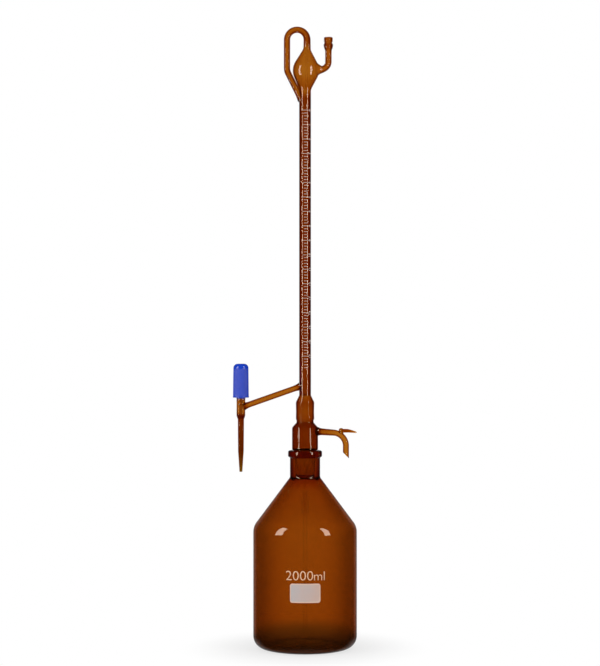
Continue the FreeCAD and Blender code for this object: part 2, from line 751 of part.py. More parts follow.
def valve_knob():
    foot, top = KNOB_FOOT_DIA / 2, KNOB_TOP_DIA / 2
    chamfer_z = KNOB_TOP_Z - KNOB_CHAMFER_HEIGHT
    outside = turned(
        [
            (0, KNOB_Z),
            (foot, KNOB_Z, KNOB_FOOT_ROUNDING),
            (top, chamfer_z, KNOB_CHAMFER_ROUNDING),
            (top - KNOB_CHAMFER_WIDTH, KNOB_TOP_Z, KNOB_CHAMFER_ROUNDING),
            (0, KNOB_TOP_Z),
        ]
    )
    thread = cylinder(BUSH_DIA / 2 + RUNNING_GAP, KNOB_Z - OVERRUN, KNOB_Z + KNOB_CAVITY_DEPTH)
    stem = cylinder(STEM_DIA / 2, KNOB_Z, STEM_TOP_Z)
    core = cylinder(KNOB_CORE_DIA / 2, KNOB_Z + KNOB_CAVITY_DEPTH, KNOB_Z + KNOB_CORE_DEPTH)
    boss = cylinder(KNOB_BOSS_DIA / 2, KNOB_Z, KNOB_Z + KNOB_CORE_DEPTH + OVERRUN)
    return upright(outside.cut([thread, stem, core.cut(boss)]), -VALVE_X, 0)


def pump_corners():
    droop = math.tan(math.radians(PUMP_DROOP))
    return [
        (0, PUMP_Z + PUMP_X * droop / 2),
        (PUMP_X, PUMP_Z - PUMP_X * droop / 2, PUMP_BEND_RADIUS),
        (PUMP_X, PUMP_END_Z),
    ]


def pump_rod(radius, lead):
    return rod(pump_corners(), radius, lead)


def pump_bevel():
    """The block cut off the hose end, whose point is the outer side of the leg."""
    angle = math.radians(PUMP_CUT_ANGLE)
    point = Vector(PUMP_X + PUMP_DIA / 2, 0, PUMP_END_Z)
    return slab_below(point, Vector(math.sin(angle), 0, math.cos(angle)), PUMP_LEG_END)


def head_plug():
    """Everything inside the head's outer skin beside the pump arm."""
    return cylinder(HEAD_DIA / 2, CONE_TIP_Z, HEAD_TOP_Z)


def pump_arm():
    start_z, bend_z = pump_corners()[0][1], pump_corners()[1][1]
    along = unit(Vector(PUMP_X, 0, bend_z - start_z))
    root = weld_cone(0, start_z, along, HEAD_DIA / 2, PUMP_DIA, PUMP_WELD_DIA, PUMP_WELD_LENGTH)
    outside = pump_rod(PUMP_DIA / 2, 0).fuse(root)
    bores = [pump_rod(PUMP_BORE / 2, OVERRUN), nipple_bore()]
    return outside.cut([head_plug(), pump_bevel()] + bores)


def nipple_foot_z():
    """The height of the pump arm's centre line in its bend, below the nipple."""
    bend_z = pump_corners()[1][1] - PUMP_BEND_RADIUS
    run = NIPPLE_X - (PUMP_X - PUMP_BEND_RADIUS)
    return bend_z + math.sqrt(PUMP_BEND_RADIUS**2 - run**2)


def nipple_bore():
    return cylinder(NIPPLE_HOLE / 2, nipple_foot_z(), PUMP_Z + NIPPLE_RISE + OVERRUN, NIPPLE_X)


def relief_nipple():
    top = PUMP_Z + NIPPLE_RISE
    outline = [
        (0, nipple_foot_z()),
        (NIPPLE_DIA / 2, nipple_foot_z()),
        (NIPPLE_DIA / 2, top, NIPPLE_ROUNDING),
        (0, top),
    ]
    return upright(turned(outline), NIPPLE_X, 0).cut([pump_rod(PUMP_DIA / 2, 0), nipple_bore()])


def thumb_rest():
    """A tapered wedge whose flat underside lies level with the middle of the pump arm."""
    root, tip = NIPPLE_X, PUMP_X + REST_REACH
    low = PUMP_Z
    crest = root + (tip - root) * REST_CREST_SHARE
    side = [
        (root, low),
        (tip, low),
        (tip, low + REST_TIP_HEIGHT),
        (crest, low + REST_ROOT_HEIGHT, REST_CREST_ROUNDING),
        (root, low + REST_ROOT_HEIGHT),
    ]
    wedge = Part.Face(rounded_wire(side)).extrude(FORWARD * REST_ROOT_WIDTH)
    wedge.translate(FORWARD * (-REST_ROOT_WIDTH / 2))
    plan = Part.makePolygon(
        [
            Vector(root, -REST_ROOT_WIDTH / 2, low),
            Vector(tip, -REST_TIP_WIDTH / 2, low),
            Vector(tip, REST_TIP_WIDTH / 2, low),
            Vector(root, REST_ROOT_WIDTH / 2, low),
            Vector(root, -REST_ROOT_WIDTH / 2, low),
        ]
    )
    tapered = wedge.common(Part.Face(plan).extrude(UP * REST_ROOT_HEIGHT))
    return tapered.cut([pump_rod(PUMP_DIA / 2, 0), relief_nipple(), nipple_bore()])


def dip_tube():
    angle = math.radians(DIP_CUT_ANGLE)
    body = tube([(0, DIP_Z), (0, DIP_TOP_Z)], DIP_DIA, DIP_BORE)
    point = Vector(DIP_DIA / 2, 0, DIP_Z)
    return body.cut(slab_below(point, Vector(math.sin(angle), 0, math.cos(angle)), BODY_DIA / 2))


def riser_coupling():
    top = COUPLING_Z + COUPLING_LENGTH
    body = cylinder(COUPLING_DIA / 2, COUPLING_Z, top)
    grip = cylinder(DIP_DIA / 2 + RUNNING_GAP, COUPLING_Z - OVERRUN, DIP_TOP_Z + RUNNING_GAP)
    web = cylinder(RISER_BORE / 2, DIP_TOP_Z, RISER_FOOT_Z + OVERRUN)
    seat = cylinder(RISER_DIA / 2, RISER_FOOT_Z, top + OVERRUN)
    return body.cut([grip, web, seat])


PIECES = [
    reservoir_bottle,
    writing_panel,
    dip_tube,
    riser_coupling,
    riser_tube,
    head_cone,
    seal_chamber,
    burette_tube,
    overflow_bulb,
    zero_tube,
    loop_tube,
    vent_nozzle,
    outlet_arm,
    valve_barrel,
    outlet_tip,
    valve_bush,
    needle_spindle,
    lower_seal,
    upper_seal,
    valve_knob,
    pump_arm,
    relief_nipple,
    thumb_rest,
]

os.makedirs("parts", exist_ok=True)
for piece in PIECES:
    shape = piece()
    shape.exportStep("parts/" + piece.__name__ + ".step")
    print(piece.__name__, "solids", len(shape.Solids), "valid", shape.isValid(), "volume", round(shape.Volume))
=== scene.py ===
"""Automatic burette of amber glass on its two-litre reservoir bottle.

Lengths in the sections are in millimetres, as on a glassblower's drawing. The meshes, the studio and the places
that a material asks about are in metres.
"""

import math

import bmesh
import bpy
from mathutils import Matrix, Vector


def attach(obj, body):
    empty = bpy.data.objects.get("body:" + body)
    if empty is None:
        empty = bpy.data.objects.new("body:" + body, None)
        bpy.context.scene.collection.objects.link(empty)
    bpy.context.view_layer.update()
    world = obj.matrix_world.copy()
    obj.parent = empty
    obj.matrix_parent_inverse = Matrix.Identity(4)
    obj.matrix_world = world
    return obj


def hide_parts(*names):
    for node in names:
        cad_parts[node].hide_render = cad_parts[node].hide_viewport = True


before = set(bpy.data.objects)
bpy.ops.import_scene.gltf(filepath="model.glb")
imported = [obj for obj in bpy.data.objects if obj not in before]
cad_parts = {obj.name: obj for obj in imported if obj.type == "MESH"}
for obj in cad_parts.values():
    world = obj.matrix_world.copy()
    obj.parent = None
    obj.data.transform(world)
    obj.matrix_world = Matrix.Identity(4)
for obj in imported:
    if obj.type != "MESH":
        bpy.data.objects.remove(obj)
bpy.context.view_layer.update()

# Studio
# A level camera at bench distance, looking along +Y, a white surround and a pale bench top.
# Two tall soft boxes stand left and right of the camera, and draw the bright lines down the glass.
camera = bpy.data.cameras.new("camera")
camera.sensor_fit = "VERTICAL"
camera.sensor_height = 24.0
camera.lens = 68.47
camera.clip_end = 30.0
viewpoint = bpy.data.objects.new("camera", camera)
viewpoint.location = (-0.00665, -2.497, 0.4135)
viewpoint.rotation_euler = (math.pi / 2, 0, 0)
bpy.context.scene.collection.objects.link(viewpoint)
bpy.context.scene.camera = viewpoint
bpy.context.scene.view_settings.view_transform = "Standard"

# Seen directly, through glass or in a gloss the room is full white. Matt things get this share of its light.
ROOM_ON_MATT_THINGS = 0.62


def node(tree, kind, **inputs):
    """A shader or geometry node, with its inputs set by name."""
    made = tree.nodes.new(kind)
    for label, value in inputs.items():
        made.inputs[label.replace("_", " ")].default_value = value
    return made


def maths(tree, operation, first, second=0.0):
    """The outcome of a maths node on two values, each a socket or a plain number."""
    made = tree.nodes.new("ShaderNodeMath")
    made.operation = operation
    for place, value in enumerate((first, second)):
        if isinstance(value, bpy.types.NodeSocket):
            tree.links.new(value, made.inputs[place])
        else:
            made.inputs[place].default_value = value
    return made.outputs[0]


def ramp(tree, value, smooth=False, **limits):
    """A value carried from one range into another. Both are 0 to 1 unless the limits say otherwise."""
    made = node(tree, "ShaderNodeMapRange", **limits)
    if smooth:
        made.interpolation_type = "SMOOTHSTEP"
    tree.links.new(value, made.inputs["Value"])
    return made.outputs["Result"]


def position(tree):
    """Where the shaded point lies, in metres."""
    return tree.nodes.new("ShaderNodeTexCoord").outputs["Object"]


def parts_of(tree, vector):
    """The X, Y and Z of a vector."""
    made = tree.nodes.new("ShaderNodeSeparateXYZ")
    tree.links.new(vector, made.inputs[0])
    return made.outputs


room = bpy.data.worlds.new("room")
room.use_nodes = True
bpy.context.scene.world = room
tree = room.node_tree


def seen_white(tree):
    """1 for the rays that show the background: straight to the camera, through glass and in a gloss."""
    path = tree.nodes.new("ShaderNodeLightPath")
    seen = maths(tree, "MAXIMUM", path.outputs["Is Camera Ray"], path.outputs["Is Transmission Ray"])
    return maths(tree, "MAXIMUM", seen, path.outputs["Is Glossy Ray"])


shown = maths(tree, "MULTIPLY", seen_white(tree), 1.0 - ROOM_ON_MATT_THINGS)
tree.links.new(maths(tree, "ADD", shown, ROOM_ON_MATT_THINGS), tree.nodes["Background"].inputs["Strength"])
tree.nodes["Background"].inputs["Color"].default_value = (1, 1, 1, 1)

# Each soft box is two lamps in one place: a warm face, which only glosses show, and a white fill for matt things
SOFT_BOX_AWAY, SOFT_BOX_MIDDLE, SOFT_BOX_HEIGHT = 1.0, 0.7375, 1.095
FACE_WATTS_PER_METRE, FILL_WATTS_PER_METRE = 34.0, 11.0
FACE_COLOUR, FILL_COLOUR = (1.0, 0.84, 0.68), (1.0, 1.0, 1.0)
for side, azimuth, width in (("left", -58, 0.31), ("right", 49, 0.25)):
    for use, watts, colour, hidden in (
        ("face", FACE_WATTS_PER_METRE, FACE_COLOUR, "visible_diffuse"),
        ("fill", FILL_WATTS_PER_METRE, FILL_COLOUR, "visible_glossy"),
    ):
        lamp = bpy.data.lights.new(f"soft_box_{side}_{use}", "AREA")
        lamp.shape = "RECTANGLE"
        lamp.size, lamp.size_y = width, SOFT_BOX_HEIGHT
        lamp.energy = watts * width
        lamp.color = colour
        stand = bpy.data.objects.new(lamp.name, lamp)
        turn = math.radians(azimuth)
        stand.location = (SOFT_BOX_AWAY * math.sin(turn), -SOFT_BOX_AWAY * math.cos(turn), SOFT_BOX_MIDDLE)
        stand.rotation_euler = (math.pi / 2, 0, turn)
        setattr(stand, hidden, False)
        stand.visible_transmission = False
        bpy.context.scene.collection.objects.link(stand)


def plain(title, colour, roughness, gloss=0.1):
    """A plain painted surface of the studio."""
    material = bpy.data.materials.new(title)
    material.use_nodes = True
    skin = material.node_tree.nodes["Principled BSDF"]
    skin.inputs["Base Color"].default_value = (*colour, 1)
    skin.inputs["Roughness"].default_value = roughness
    skin.inputs["Specular IOR Level"].default_value = gloss
    return material


# Dark cloth all round, which only reflections meet, so that the glass keeps its dark outline. It is a little
# lighter behind the object and below it, where a real room would show the backdrop and the bench.
CLOTH_RADIUS, CLOTH_GREY = 4.0, 0.02
cloth = bpy.data.meshes.new("black_cloth")
shaped = bmesh.new()
bmesh.ops.create_icosphere(shaped, subdivisions=4, radius=CLOTH_RADIUS)
shaped.to_mesh(cloth)
shaped.free()
tent = bpy.data.objects.new("black_cloth", cloth)
bpy.context.scene.collection.objects.link(tent)
black = plain("black_cloth", (CLOTH_GREY, CLOTH_GREY, CLOTH_GREY), 1.0, 0.0)
tree = black.node_tree
spot = parts_of(tree, position(tree))
behind = ramp(tree, spot["Y"], From_Min=2.8, From_Max=3.9, To_Max=0.28)
below = ramp(tree, spot["Z"], From_Min=-3.0, From_Max=-3.9, To_Max=0.2)
low_down = ramp(tree, spot["Z"], From_Min=-0.6, From_Max=-1.4, To_Max=0.35)
low_behind = maths(tree, "MULTIPLY", ramp(tree, spot["Y"], From_Min=1.5, From_Max=2.8), low_down)
level = maths(tree, "ADD", maths(tree, "ADD", behind, below), low_behind)
level = maths(tree, "ADD", level, CLOTH_GREY)
tree.links.new(level, tree.nodes["Principled BSDF"].inputs["Base Color"])
cloth.materials.append(black)
for kind in ("camera", "diffuse", "transmission", "shadow", "volume_scatter"):
    setattr(tent, "visible_" + kind, False)

# The bench top lies a hair below the foot. Round the object its own shade is kept; farther out the camera and the
# rays through the glass see it melt into the white surround.
BENCH_HALF, BENCH_LEVEL = 9, -2e-4
bench = bpy.data.meshes.new("bench_top")
bench.from_pydata(
    [(BENCH_HALF * x, BENCH_HALF * y, BENCH_LEVEL) for x, y in ((-1, -1), (1, -1), (1, 1), (-1, 1))],
    [],
    [(0, 1, 2, 3)],
)
bench_top = bpy.data.objects.new("bench_top", bench)
bpy.context.scene.collection.objects.link(bench_top)
bench_top.visible_glossy = False
laminate = plain("bench_laminate", (0.86, 0.86, 0.86), 0.6)
tree = laminate.node_tree
glow = node(tree, "ShaderNodeEmission", Strength=1.0)
reach = tree.nodes.new("ShaderNodeVectorMath")
reach.operation = "LENGTH"
tree.links.new(position(tree), reach.inputs[0])
path = tree.nodes.new("ShaderNodeLightPath")
shares = []
for seen, far, least in (("Is Camera Ray", 0.17, 0.72), ("Is Transmission Ray", 0.30, 0.3)):
    fade = ramp(tree, reach.outputs["Value"], smooth=True, From_Min=0.06, From_Max=far, To_Min=least)
    shares.append(maths(tree, "MULTIPLY", path.outputs[seen], fade))
share = maths(tree, "MAXIMUM", *shares)
blend = tree.nodes.new("ShaderNodeMixShader")
tree.links.new(share, blend.inputs[0])
tree.links.new(tree.nodes["Principled BSDF"].outputs[0], blend.inputs[1])
tree.links.new(glow.outputs[0], blend.inputs[2])
tree.links.new(blend.outputs[0], tree.nodes["Material Output"].inputs["Surface"])
bench.materials.append(laminate)


# Reservoir bottle
# A two-litre laboratory bottle of amber soda glass, blown in a mould and finished at the neck, with a thick
# base, a sloping shoulder and a flanged rim. The inside of the neck is ground to a 29/32 socket.
def rounded(corners, facets=9):
    """Points along a path through (r, z) or (r, z, rounding) corners."""
    points = [Vector(corner[:2]) for corner in corners]
    line = []
    for place, corner in enumerate(corners):
        here = points[place]
        if len(corner) < 3 or not 0 < place < len(corners) - 1:
            line.append(here)
            continue
        back, ahead = (points[place - 1] - here).normalized(), (points[place + 1] - here).normalized()
        half = back.angle(ahead) / 2
        radius = corner[2]
        centre = here + (back + ahead).normalized() * (radius / math.sin(half))
        start = here + back * (radius / math.tan(half)) - centre
        sweep = (math.pi - 2 * half) * (1 if back.cross(ahead) < 0 else -1)
        for step in range(facets + 1):
            line.append(centre + Matrix.Rotation(sweep * step / facets, 2) @ start)
    return line


def closer(line, longest, hold=0.4):
    """The same path with its long runs divided, and a short step at both ends of each over 5 mm.

    The short steps keep the reflections in the run straight.
    """
    filled = [line[0]]
    for point in line[1:]:
        start = filled[-1]
        run = (point - start).length
        parts = max(1, math.ceil(run / longest))
        shares = [step / parts for step in range(1, parts + 1)]
        if run > 5:
            shares = sorted({hold / run, 1 - hold / run, *shares})
        filled += [start.lerp(point, share) for share in shares]
    return filled


def piece(name, points, faces, sharp=40):
    """A mesh object from points in millimetres, smooth but for edges sharper than the given angle."""
    mesh = bpy.data.meshes.new(name)
    mesh.from_pydata([Vector(point) * 0.001 for point in points], [], faces)
    shaped = bmesh.new()
    shaped.from_mesh(mesh)
    bmesh.ops.remove_doubles(shaped, verts=shaped.verts, dist=1e-7)
    bmesh.ops.recalc_face_normals(shaped, faces=shaped.faces)
    shaped.to_mesh(mesh)
    shaped.free()
    mesh.shade_smooth()
    mesh.set_sharp_from_angle(angle=math.radians(sharp))
    made = bpy.data.objects.new(name, mesh)
    bpy.context.scene.collection.objects.link(made)
    return made


def turned(name, line, steps=120, place=None, sharp=40, dent=None):
    """A path of (r, z) points turned round the axis. It starts and ends on the axis, or it is closed there.

    dent, where given, is how far inside the path the surface lies, from the turn, the radius and the height.
    """
    place = place or Matrix.Identity(4)
    rings, points, faces = [], [], []
    for radius, z in line:
        if radius < 1e-6:
            rings.append([len(points)] * steps)
            points.append(place @ Vector((0, 0, z)))
            continue
        rings.append(list(range(len(points), len(points) + steps)))
        for step in range(steps):
            turn = 2 * math.pi * step / steps
            reach = radius - dent(turn, radius, z) if dent else radius
            points.append(place @ Vector((reach * math.cos(turn), reach * math.sin(turn), z)))
    for low, high in zip(rings, rings[1:]):
        for step in range(steps):
            following = (step + 1) % steps
            corners = [low[step], low[following], high[following], high[step]]
            face = [corner for at, corner in enumerate(corners) if corner not in corners[:at]]
            if len(face) > 2:
                faces.append(face)
    return piece(name, points, faces, sharp)


def shader_group(title, *sockets):
    """An empty shader group with its inputs and outputs, given as (name, kind, goes in, value)."""
    group = bpy.data.node_groups.new(title, "ShaderNodeTree")
    for label, kind, inward, value in sockets:
        made = group.interface.new_socket(
            label, in_out="INPUT" if inward else "OUTPUT", socket_type="NodeSocket" + kind
        )
        if inward:
            made.default_value = value
    return group, group.nodes.new("NodeGroupInput"), group.nodes.new("NodeGroupOutput")


def noise(tree, where, scale, detail):
    """Cloudy noise, with as many waves to the metre as scale says."""
    made = node(tree, "ShaderNodeTexNoise", Scale=scale, Detail=detail)
    tree.links.new(where, made.inputs["Vector"])
    return made.outputs["Fac"]


def within(tree, value, low, high):
    """1 where a value lies between two others."""
    return maths(tree, "MULTIPLY", maths(tree, "GREATER_THAN", value, low), maths(tree, "LESS_THAN", value, high))


# The skin of blown glass: slow waves where it was worked, faint smears, and the grey of a ground joint
glass_skin, given, put = shader_group(
    "glass_skin",
    ("Wave Size", "Float", True, 12.0),
    ("Wave Height", "Float", True, 0.02),
    ("Ground From", "Float", True, 0.2272),
    ("Ground To", "Float", True, 0.2592),
    ("Ground Inside", "Float", True, 0.0),
    ("Ground Outside", "Float", True, 0.0149),
    ("Roughness", "Float", False, 0),
    ("Normal", "Vector", False, 0),
)
where = position(glass_skin)
spot = parts_of(glass_skin, where)
stretch = node(glass_skin, "ShaderNodeMapping", Scale=(1.0, 1.0, 0.35))
glass_skin.links.new(where, stretch.inputs["Vector"])
waves = node(glass_skin, "ShaderNodeTexNoise", Detail=1.5, Roughness=0.4)
glass_skin.links.new(stretch.outputs[0], waves.inputs["Vector"])
per_metre = maths(glass_skin, "DIVIDE", 1000.0, given.outputs["Wave Size"])
glass_skin.links.new(per_metre, waves.inputs["Scale"])
squares = [maths(glass_skin, "MULTIPLY", spot[axis], spot[axis]) for axis in "XY"]
across = maths(glass_skin, "SQRT", maths(glass_skin, "ADD", *squares))
ground = within(glass_skin, spot["Z"], given.outputs["Ground From"], given.outputs["Ground To"])
ring = within(glass_skin, across, given.outputs["Ground Inside"], given.outputs["Ground Outside"])
ground = maths(glass_skin, "MULTIPLY", ground, ring)
frost = maths(glass_skin, "MULTIPLY", 0.3, noise(glass_skin, where, 9000.0, 2.0))
frosted = maths(glass_skin, "MULTIPLY", ground, frost)
smears = ramp(glass_skin, noise(glass_skin, where, 60.0, 4.0), From_Min=0.55, From_Max=0.8, To_Max=0.02)
glass_skin.links.new(maths(glass_skin, "ADD", smears, frosted), put.inputs["Roughness"])
relief = node(glass_skin, "ShaderNodeBump", Strength=1.0)
glass_skin.links.new(waves.outputs["Fac"], relief.inputs["Height"])
glass_skin.links.new(maths(glass_skin, "MULTIPLY", given.outputs["Wave Height"], 0.001), relief.inputs["Distance"])
glass_skin.links.new(relief.outputs["Normal"], put.inputs["Normal"])


def mixed(tree, share, first, second, blend="MIX"):
    """Two colours mixed by a share. Each may be a socket or a plain colour."""
    made = tree.nodes.new("ShaderNodeMix")
    made.data_type = "RGBA"
    made.blend_type = blend
    tree.links.new(share, made.inputs["Factor"])
    for label, colour in (("A", first), ("B", second)):
        if isinstance(colour, bpy.types.NodeSocket):
            tree.links.new(colour, made.inputs[label])
        else:
            made.inputs[label].default_value = (*colour, 1)
    return made.outputs["Result"]


def tinted(material, share, colour, blend="MIX"):
    """Mixes one more colour into those that already make up a material's base colour."""
    tree = material.node_tree
    base = tree.nodes["Principled BSDF"].inputs["Base Color"]
    tree.links.new(mixed(tree, share, base.links[0].from_socket, colour, blend), base)


def amber_glass(title, taken_per_mm, stain=(1.0, 1.0, 1.0), slanted=1.0, **skin):
    """Amber glass. taken_per_mm is what one millimetre of it takes of red, green and blue light.

    stain is what its skin lets through seen straight on, and slanted the share of that seen round the side: a painted
    shade that darkens the glass's flanks.
    """
    material = bpy.data.materials.new(title)
    material.use_nodes = True
    tree = material.node_tree
    gloss = tree.nodes["Principled BSDF"]
    gloss.inputs["Transmission Weight"].default_value = 1.0
    gloss.inputs["IOR"].default_value = 1.49
    # How far round the side the point is seen, however much it slopes up or down, which sets the painted shade on the
    # flanks
    tilt = node(tree, "ShaderNodeLayerWeight", Blend=0.5)
    upward = parts_of(tree, tree.nodes.new("ShaderNodeNewGeometry").outputs["Normal"])["Z"]
    level = maths(tree, "SUBTRACT", 1.0, maths(tree, "MULTIPLY", upward, upward))
    level = maths(tree, "SQRT", maths(tree, "MAXIMUM", level, 0.05))
    toward = maths(tree, "SUBTRACT", 1.0, tilt.outputs["Facing"])
    aside = ramp(tree, maths(tree, "DIVIDE", toward, level), smooth=True, From_Min=0.97, From_Max=0.5)
    aside.node.name = "Seen Aside"
    # Painted shade: round the side the base colour falls to the slanted share of the stain
    tone = mixed(tree, aside, stain, [part * slanted for part in stain])
    tree.links.new(tone, gloss.inputs["Base Color"])
    surface = tree.nodes.new("ShaderNodeGroup")
    surface.node_tree = glass_skin
    for label, value in skin.items():
        surface.inputs[label.replace("_", " ")].default_value = value
    tree.links.new(surface.outputs["Roughness"], gloss.inputs["Roughness"])
    tree.links.new(surface.outputs["Normal"], gloss.inputs["Normal"])
    body = tree.nodes.new("ShaderNodeVolumeAbsorption")
    density = max(taken_per_mm) * 1000
    body.inputs["Density"].default_value = density
    body.inputs["Color"].default_value = (*(1 - 1000 * taken / density for taken in taken_per_mm), 1)
    tree.links.new(body.outputs[0], tree.nodes["Material Output"].inputs["Volume"])
    return material


# The frost of the joint is drawn on the cone, so the bottle's own is switched off by Ground To.
# The neck is painted paler than the body seen straight on, a painted light for the light that its ground joint
# scatters back, and painted darker round its sides, a painted shade; the foot is painted deeper in tone, a painted
# shade for the shaded bench seen through it.
NECK_FROM, NECK_TO = 0.2245, 0.2504
bottle_amber = amber_glass(
    "bottle_amber", (0.09, 0.25, 0.6), (0.636, 0.429, 0.196), 0.6, Wave_Size=45.0, Wave_Height=0.05, Ground_To=0.0
)
tree = bottle_amber.node_tree
height = parts_of(tree, position(tree))["Z"]
# Painted light on the neck seen straight on, and painted shade round its sides
neck_painted_light_and_shade = mixed(tree, tree.nodes["Seen Aside"].outputs["Result"], (1.4, 2.1, 3.6), (0.5, 0.75, 1.0))
tinted(bottle_amber, within(tree, height, NECK_FROM, NECK_TO), neck_painted_light_and_shade, "MULTIPLY")
# Painted shade: the foot darkens towards the floor, for the shaded bench seen through it
foot = ramp(tree, height, smooth=True, From_Min=0.032, From_Max=0.010)
tinted(bottle_amber, foot, (0.42, 0.54, 1.4), "MULTIPLY")

# The outside from the push-up under the foot to the rim, then the inside down to the floor
BOTTLE_RADIUS, NECK_RADIUS, FLANGE_RADIUS = 68.0, 19.75, 22.3
FLANGE_UNDERSIDE, BOTTLE_TOP = 250.6, 259.2
bottle = turned(
    "bottle_glass",
    closer(
        rounded(
            [
                (0, 2.5),
                (30, 2.5, 12),
                (46, 0, 1.5),
                (BOTTLE_RADIUS, 0, 16),
                (BOTTLE_RADIUS, 159.3, 21),
                (NECK_RADIUS, 224.0, 5),
                (NECK_RADIUS, FLANGE_UNDERSIDE, 1.5),
                (FLANGE_RADIUS, FLANGE_UNDERSIDE, 2.0),
                (FLANGE_RADIUS, BOTTLE_TOP, 2.4),
                (14.6, BOTTLE_TOP, 0.4),
                (12.84, 224.0, 2),
                (27.5, 208.3, 60),
                (65.4, 158.6, 18),
                (65, 3.2, 13),
                (48, 3.2, 12),
                (30, 6, 12),
                (0, 7.8),
            ]
        ),
        12,
    ),
    steps=160,
    sharp=60,
)
bottle.data.materials.append(bottle_amber)
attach(bottle, "bottle")
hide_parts("reservoir_bottle")

# Capacity mark and writing panel
# White enamel, screened on the bottle's front and fired into the glass. The panel is a matt field that takes
# a pencil, inside a thicker rim; the mark gives the capacity alone.
ENAMEL_GAP = 0.02


def wrapped(name, flat, radius, thickness, spacing=1.5):
    """A flat mesh in the XZ plane laid round the bottle's or tube's front and given its thickness."""
    shaped = bmesh.new()
    shaped.from_mesh(flat)
    wide = [vert.co.x for vert in shaped.verts]
    low, high = min(wide), max(wide)
    for cut in range(1, int((high - low) / spacing)):
        everything = shaped.verts[:] + shaped.edges[:] + shaped.faces[:]
        bmesh.ops.bisect_plane(shaped, geom=everything, plane_co=(low + cut * spacing, 0, 0), plane_no=(1, 0, 0))
    raised = bmesh.ops.extrude_face_region(shaped, geom=shaped.faces[:])
    top = {item for item in raised["geom"] if isinstance(item, bmesh.types.BMVert)}
    for vert in shaped.verts:
        out = radius + ENAMEL_GAP + (thickness if vert in top else 0)
        turn = vert.co.x / radius
        vert.co = Vector((out * math.sin(turn), -out * math.cos(turn), vert.co.z)) * 0.001
    bmesh.ops.recalc_face_normals(shaped, faces=shaped.faces)
    mesh = bpy.data.meshes.new(name)
    shaped.to_mesh(mesh)
    shaped.free()
    made = bpy.data.objects.new(name, mesh)
    bpy.context.scene.collection.objects.link(made)
    return made


def lettering(words, height, width=None, bold=0.0):
    """A flat mesh of words, centred at the origin of the XZ plane, as high and, where given, as wide as told."""
    curve = bpy.data.curves.new("words", "FONT")
    curve.body = words
    curve.offset = bold
    curve.resolution_u = 4
    writer = bpy.data.objects.new("words", curve)
    bpy.context.scene.collection.objects.link(writer)
    bpy.context.view_layer.update()
    mesh = bpy.data.meshes.new_from_object(writer.evaluated_get(bpy.context.evaluated_depsgraph_get()))
    bpy.data.objects.remove(writer)
    low = [min(vert.co[axis] for vert in mesh.vertices) for axis in (0, 1)]
    high = [max(vert.co[axis] for vert in mesh.vertices) for axis in (0, 1)]
    rise = height / (high[1] - low[1])
    spread = width / (high[0] - low[0]) if width else rise
    for vert in mesh.vertices:
        x, y = vert.co[0] - (low[0] + high[0]) / 2, vert.co[1] - (low[1] + high[1]) / 2
        vert.co = (x * spread, 0, y * rise)
    return mesh


def grainy(tree, where, scale, strength, height):
    """A fine grain on a surface, with bumps as high as given, in metres."""
    relief = node(tree, "ShaderNodeBump", Strength=strength, Distance=height)
    tree.links.new(noise(tree, where, scale, 2.0), relief.inputs["Height"])
    tree.links.new(relief.outputs["Normal"], tree.nodes["Principled BSDF"].inputs["Normal"])


def enamel(title, colour, thin, aside=0.0):
    """Fired enamel: chalky, and a little uneven, so that the glass warms it where the coat is thin.

    aside is the share in which the thin tone gives way to the full one from left to right, over 36 millimetres.
    """
    material = bpy.data.materials.new(title)
    material.use_nodes = True
    tree = material.node_tree
    chalk = tree.nodes["Principled BSDF"]
    chalk.inputs["Roughness"].default_value = 0.55
    chalk.inputs["Specular IOR Level"].default_value = 0.35
    where = position(tree)
    clouds = ramp(tree, noise(tree, where, 90.0, 3.0), From_Min=0.25, From_Max=0.6)
    sweep = ramp(tree, parts_of(tree, where)["X"], From_Min=-0.018, From_Max=0.018, To_Max=aside)
    full = maths(tree, "ADD", maths(tree, "MULTIPLY", clouds, 1.0 - aside), sweep)
    tree.links.new(mixed(tree, full, thin, colour), chalk.inputs["Base Color"])
    grainy(tree, where, 2500.0, 0.25, 0.00002)
    return material


mark_enamel = enamel("mark_enamel", (0.93, 0.61, 0.41), (0.85, 0.51, 0.31))
panel_enamel = enamel("panel_enamel", (0.70, 0.49, 0.41), (0.58, 0.545, 0.55), 0.75)
rim_enamel = enamel("panel_rim_enamel", (0.84, 0.62, 0.50), (0.76, 0.53, 0.42))

MARK_FOOT, MARK_THICKNESS, THINNED = 97.0, 0.08, -0.008
written = bmesh.new()
for words, height, width, middle in (("2000", 12.1, 35.4, -7.5), ("ml", 11.1, 14.2, 18.5)):
    flat = lettering(words, height, width, THINNED)
    for vert in flat.vertices:
        vert.co += Vector((middle, 0, MARK_FOOT + height / 2))
    written.from_mesh(flat)
flat = bpy.data.meshes.new("capacity")
written.to_mesh(flat)
written.free()
capacity = wrapped("capacity_mark", flat, BOTTLE_RADIUS, MARK_THICKNESS)
capacity.data.materials.append(mark_enamel)
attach(capacity, "bottle")


def outline(width, height, corner, middle_z, facets=8):
    """The points of an upright rectangle with round corners."""
    points = []
    for quarter, (side, level) in enumerate(((1, 1), (-1, 1), (-1, -1), (1, -1))):
        for step in range(facets + 1):
            turn = math.pi / 2 * (quarter + step / facets)
            x = side * (width / 2 - corner) + corner * math.cos(turn)
            z = middle_z + level * (height / 2 - corner) + corner * math.sin(turn)
            points.append((x, 0, z))
    return points


